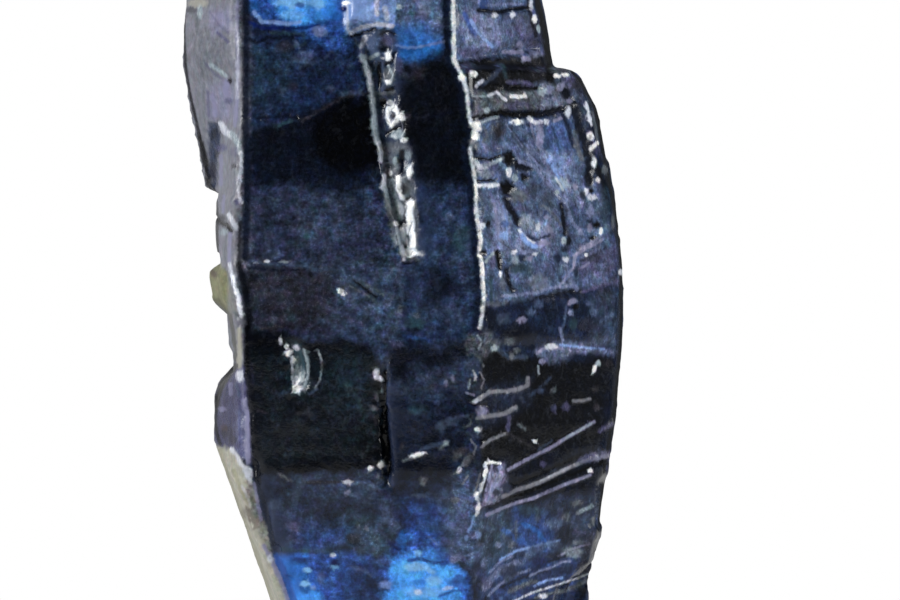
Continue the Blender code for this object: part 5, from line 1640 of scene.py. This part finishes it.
@dataclass(frozen=True)
class SapphireFinish:
    """Dark blue corundum: glassy and part clear, frosted on some faces, white where it's broken, with painted glints
    and glow in its colour.
    """

    clearness: float = 0.14
    bending: float = 1.77
    body_colour: tuple = (0.08, 0.25, 0.72)
    body_density: float = 900.0
    polish: float = 0.16
    dulling: float = 0.4
    shine: float = 0.08
    # Grains to a millimetre, apart from the growth lines', which are drawn out level.
    mottle: Grain = Grain(2.5, 3.0, 0.6, 6.0)
    fine: Grain = Grain(6.0, 2.0, 0.5, 4.5)
    lines: Grain = Grain(2.0, 4.0, 0.6, 3.0)
    warp: Grain = Grain(1.3, 2.0, 0.5, 1.1)
    gaps: Grain = Grain(1.1, 2.0, 0.5, 7.0)
    clouds: Grain = Grain(0.8, 2.0, 0.55, 4.0)
    tone: Grain = Grain(2.4, 3.0, 0.6)
    flakes: Grain = Grain(1.0, 3.0, 0.62)
    line_stretch: tuple = (500.0, 500.0, 2200.0)
    shard_stretch: tuple = (1.9, 1.9, 1.1)
    shard_turn: tuple = (0.5, 0.5, 0.0)
    shard_gain: float = 0.9
    flake_stretch: tuple = (2.6, 2.6, 1.5)
    flake_turn: tuple = (0.4, 0.6, 0.0)
    flake_dark: tuple = (0.003, 0.005, 0.014, 1.0)
    flake_pale: tuple = ((2.3, 2.1, 1.8), (0.02, 0.022, 0.028))
    tone_gain: tuple = ((2.1, 1.4, 1.5), (-0.08, 0.3, 0.26))
    relief: float = 0.3
    relief_depth: float = 0.00006

    def shards(self, g: Graph, mm: object, bent: object) -> bpy.types.NodeSocket:
        """Makes the sharp part of the mottling: broken shards with uneven rims between them.

        Args:
            g: The material's nodes.
            mm: Places in millimetres.
            bent: The same places, warped.

        Returns:
            A value round zero.
        """
        squashed = g.stretch(bent, self.shard_stretch, self.shard_turn)
        cells = g.node("TexVoronoi", Vector=squashed, Scale=1.0).outputs["Color"]
        cells = g.node("SeparateColor", Color=cells).outputs[0]
        rims = g.node("TexVoronoi", (("feature", "DISTANCE_TO_EDGE"),), Vector=squashed, Scale=1.0).outputs[0]
        rims = g.ramp(rims, 0.07, 0.0, 1.0)
        cells = g.add(cells, g.swing(g.noise(bent, self.clouds), self.clouds.gain))
        broken_rims = g.times(rims, g.swing(g.noise(mm, self.gaps), self.gaps.gain))
        return g.add(g.swing(cells, self.shard_gain), broken_rims)

    def flake(self, g: Graph, colour: object, bent: object) -> bpy.types.NodeSocket:
        """Lays dark and pale flakes over a colour where the paint is crisp.

        Args:
            g: The material's nodes.
            colour: The colour so far.
            bent: Places in millimetres, warped.

        Returns:
            The flaked colour.
        """
        spread = g.noise(g.stretch(bent, self.flake_stretch, self.flake_turn), self.flakes)
        dark = g.times(g.ramp(spread, 0.44, 0.32, 0.75), g.layer("crisp"))
        pale = g.times(g.ramp(spread, 0.55, 0.68, 0.75), g.layer("crisp"))
        colour = g.blend(dark, colour, self.flake_dark)
        gain, lift = self.flake_pale
        return g.blend(pale, colour, g.vector("MULTIPLY_ADD", i0=colour, i1=gain, i2=lift))

    def make(self) -> bpy.types.Material:
        """Makes the material.

        Returns:
            The material.
        """
        material = bpy.data.materials.new("sapphire")
        g = Graph(material)
        place = g.node("TexCoord").outputs["Object"]
        mm = g.stretch(place, (1.0 / MM, 1.0 / MM, 1.0 / MM))
        bent = g.vector("MULTIPLY_ADD", i0=g.noise(mm, self.warp, "Color"), i1=(self.warp.gain,) * 3, i2=mm)
        mottle = g.noise(mm, self.mottle)
        fine = g.noise(mm, self.fine)
        lines = g.noise(g.stretch(place, self.line_stretch), self.lines)
        uneven = g.add(g.swing(mottle, self.mottle.gain), g.swing(lines, self.lines.gain))
        uneven = g.add(uneven, g.swing(fine, self.fine.gain))
        uneven = g.add(uneven, g.times(self.shards(g, mm, bent), g.layer("crisp")))
        level = g.math("POWER", 2.0, g.times(uneven, g.layer("life")))
        colour = g.vector("SCALE", i0=g.layer("paint", "Color"), Scale=level)
        gain, lift = self.tone_gain
        tone = g.vector("MULTIPLY_ADD", i0=g.noise(mm, self.tone, "Color"), i1=gain, i2=lift)
        colour = g.blend(g.layer("life"), colour, g.vector("MULTIPLY", i0=colour, i1=tone))
        colour = self.flake(g, colour, bent)
        rough = g.add(self.polish, g.times(g.layer("dull"), self.dulling))
        rough = g.math("ADD", rough, g.swing(fine, 0.2), True)
        relief = g.add(g.add(g.times(fine, 0.5), g.times(lines, 0.3)), mottle)
        bump = g.node("Bump", Strength=self.relief, Distance=self.relief_depth, Height=relief).outputs[0]
        shader = g.node(
            "BsdfPrincipled", Base_Color=colour, Roughness=rough, Normal=bump, IOR=self.bending,
            Transmission_Weight=self.clearness, Specular_IOR_Level=self.shine,
        )
        inside = g.node("VolumeAbsorption", Color=(*self.body_colour, 1.0), Density=self.body_density)
        g.node("OutputMaterial", Surface=shader.outputs[0], Volume=inside.outputs[0])
        return material


# ---- The studio ----


@dataclass(frozen=True)
class Lamp:
    """A soft square lamp: where it stands and its width, in metres, and its face's glow, 1 for white paper."""

    name: str
    place: tuple
    size: float
    glow: float


@dataclass
class Studio:
    """A pale table, soft light from both sides and above, and the camera."""

    sheet: Sheet = field(default_factory=Sheet)
    floor_radius: float = 0.14
    floor_colour: tuple = (0.82, 0.82, 0.81)
    floor_roughness: tuple = (0.6, 0.2)
    floor_grain: Grain = Grain(60.0, 3.0)
    paper: tuple = (1.0, 1.0, 1.0, 1.0)
    dim_colour: tuple = (0.9, 0.95, 1.0, 1.0)
    dim_light: float = 0.06
    aim: tuple = (0.0, 0.0, 0.022)
    lamps: tuple = (
        Lamp("soft_left", (-0.26, 0.46, 0.10), 0.34, 0.35),
        Lamp("soft_right", (0.52, 0.09, 0.14), 0.34, 0.12),
        Lamp("key_left", (-0.50, -0.17, 0.24), 0.26, 17.0),
        Lamp("key_right", (0.50, -0.16, 0.24), 0.26, 11.5),
    )
    film_width: float = 36.0

    def lay_floor(self) -> bpy.types.Object:
        """Lays the pale table top.

        Returns:
            The floor.
        """
        bpy.ops.object.select_all(action="DESELECT")
        bpy.ops.mesh.primitive_circle_add(vertices=96, radius=self.floor_radius, fill_type="NGON")
        floor = bpy.context.object
        floor.name = "studio_floor"
        material = bpy.data.materials.new("pale_table")
        g = Graph(material)
        grain = g.noise(g.node("TexCoord").outputs["Object"], self.floor_grain)
        least, more = self.floor_roughness
        rough = g.add(least, g.times(grain, more))
        shader = g.node("BsdfPrincipled", Base_Color=(*self.floor_colour, 1.0), Roughness=rough)
        g.node("OutputMaterial", Surface=shader.outputs[0])
        floor.data.materials.append(material)
        return floor

    def light_world(self) -> None:
        """Surrounds the scene with white paper, which lights the crystal only dimly."""
        world = bpy.data.worlds.new("studio_white")
        bpy.context.scene.world = world
        g = Graph(world)
        dim = g.node("Background", Color=self.dim_colour, Strength=self.dim_light).outputs[0]
        paper = g.node("Background", Color=self.paper).outputs[0]
        seen = g.node("LightPath").outputs["Is Camera Ray"]
        g.node("OutputWorld", Surface=g.node("MixShader", i0=seen, i1=dim, i2=paper).outputs[0])

    def add_lamp(self, lamp: Lamp) -> None:
        """Adds one lamp and turns its face to the crystal.

        Args:
            lamp: The lamp.
        """
        data = bpy.data.lights.new(lamp.name, "AREA")
        data.size = lamp.size
        data.energy = lamp.glow * math.pi * lamp.size**2
        made = bpy.data.objects.new(lamp.name, data)
        made.location = lamp.place
        made.rotation_euler = (Vector(lamp.place) - Vector(self.aim)).to_track_quat("Z", "Y").to_euler()
        bpy.context.scene.collection.objects.link(made)

    def add_camera(self) -> None:
        """Sets the camera up straight in front, level with the crystal, so that the sheet fills its view."""
        data = bpy.data.cameras.new("camera")
        data.sensor_width = self.film_width
        data.lens = self.film_width * self.sheet.distance / (2 * self.sheet.middle[0] * self.sheet.square)
        data.clip_start = 0.01
        data.clip_end = 20.0
        camera = bpy.data.objects.new("camera", data)
        across, up = self.sheet.aim
        camera.location = (across * MM, -self.sheet.distance * MM, up * MM)
        camera.rotation_euler = (math.radians(90), 0, 0)
        bpy.context.scene.collection.objects.link(camera)
        bpy.context.scene.camera = camera

    def build(self) -> None:
        """Sets up the floor, the lights and the camera."""
        self.lay_floor()
        self.light_world()
        for lamp in self.lamps:
            self.add_lamp(lamp)
        self.add_camera()
        bpy.context.scene.view_settings.view_transform = "Standard"


# ---- Everything ----


def main() -> None:
    """Builds the crystal, dresses it and sets up the studio."""
    logging.basicConfig(level=logging.INFO, format="%(name)s: %(message)s")
    body = CrystalBody().build()
    body.data.materials.append(SapphireFinish().make())
    log.info("crystal body: %d faces", len(body.data.polygons))
    Studio().build()
    log.info("studio is up")


if __name__ == "__main__":
    main()
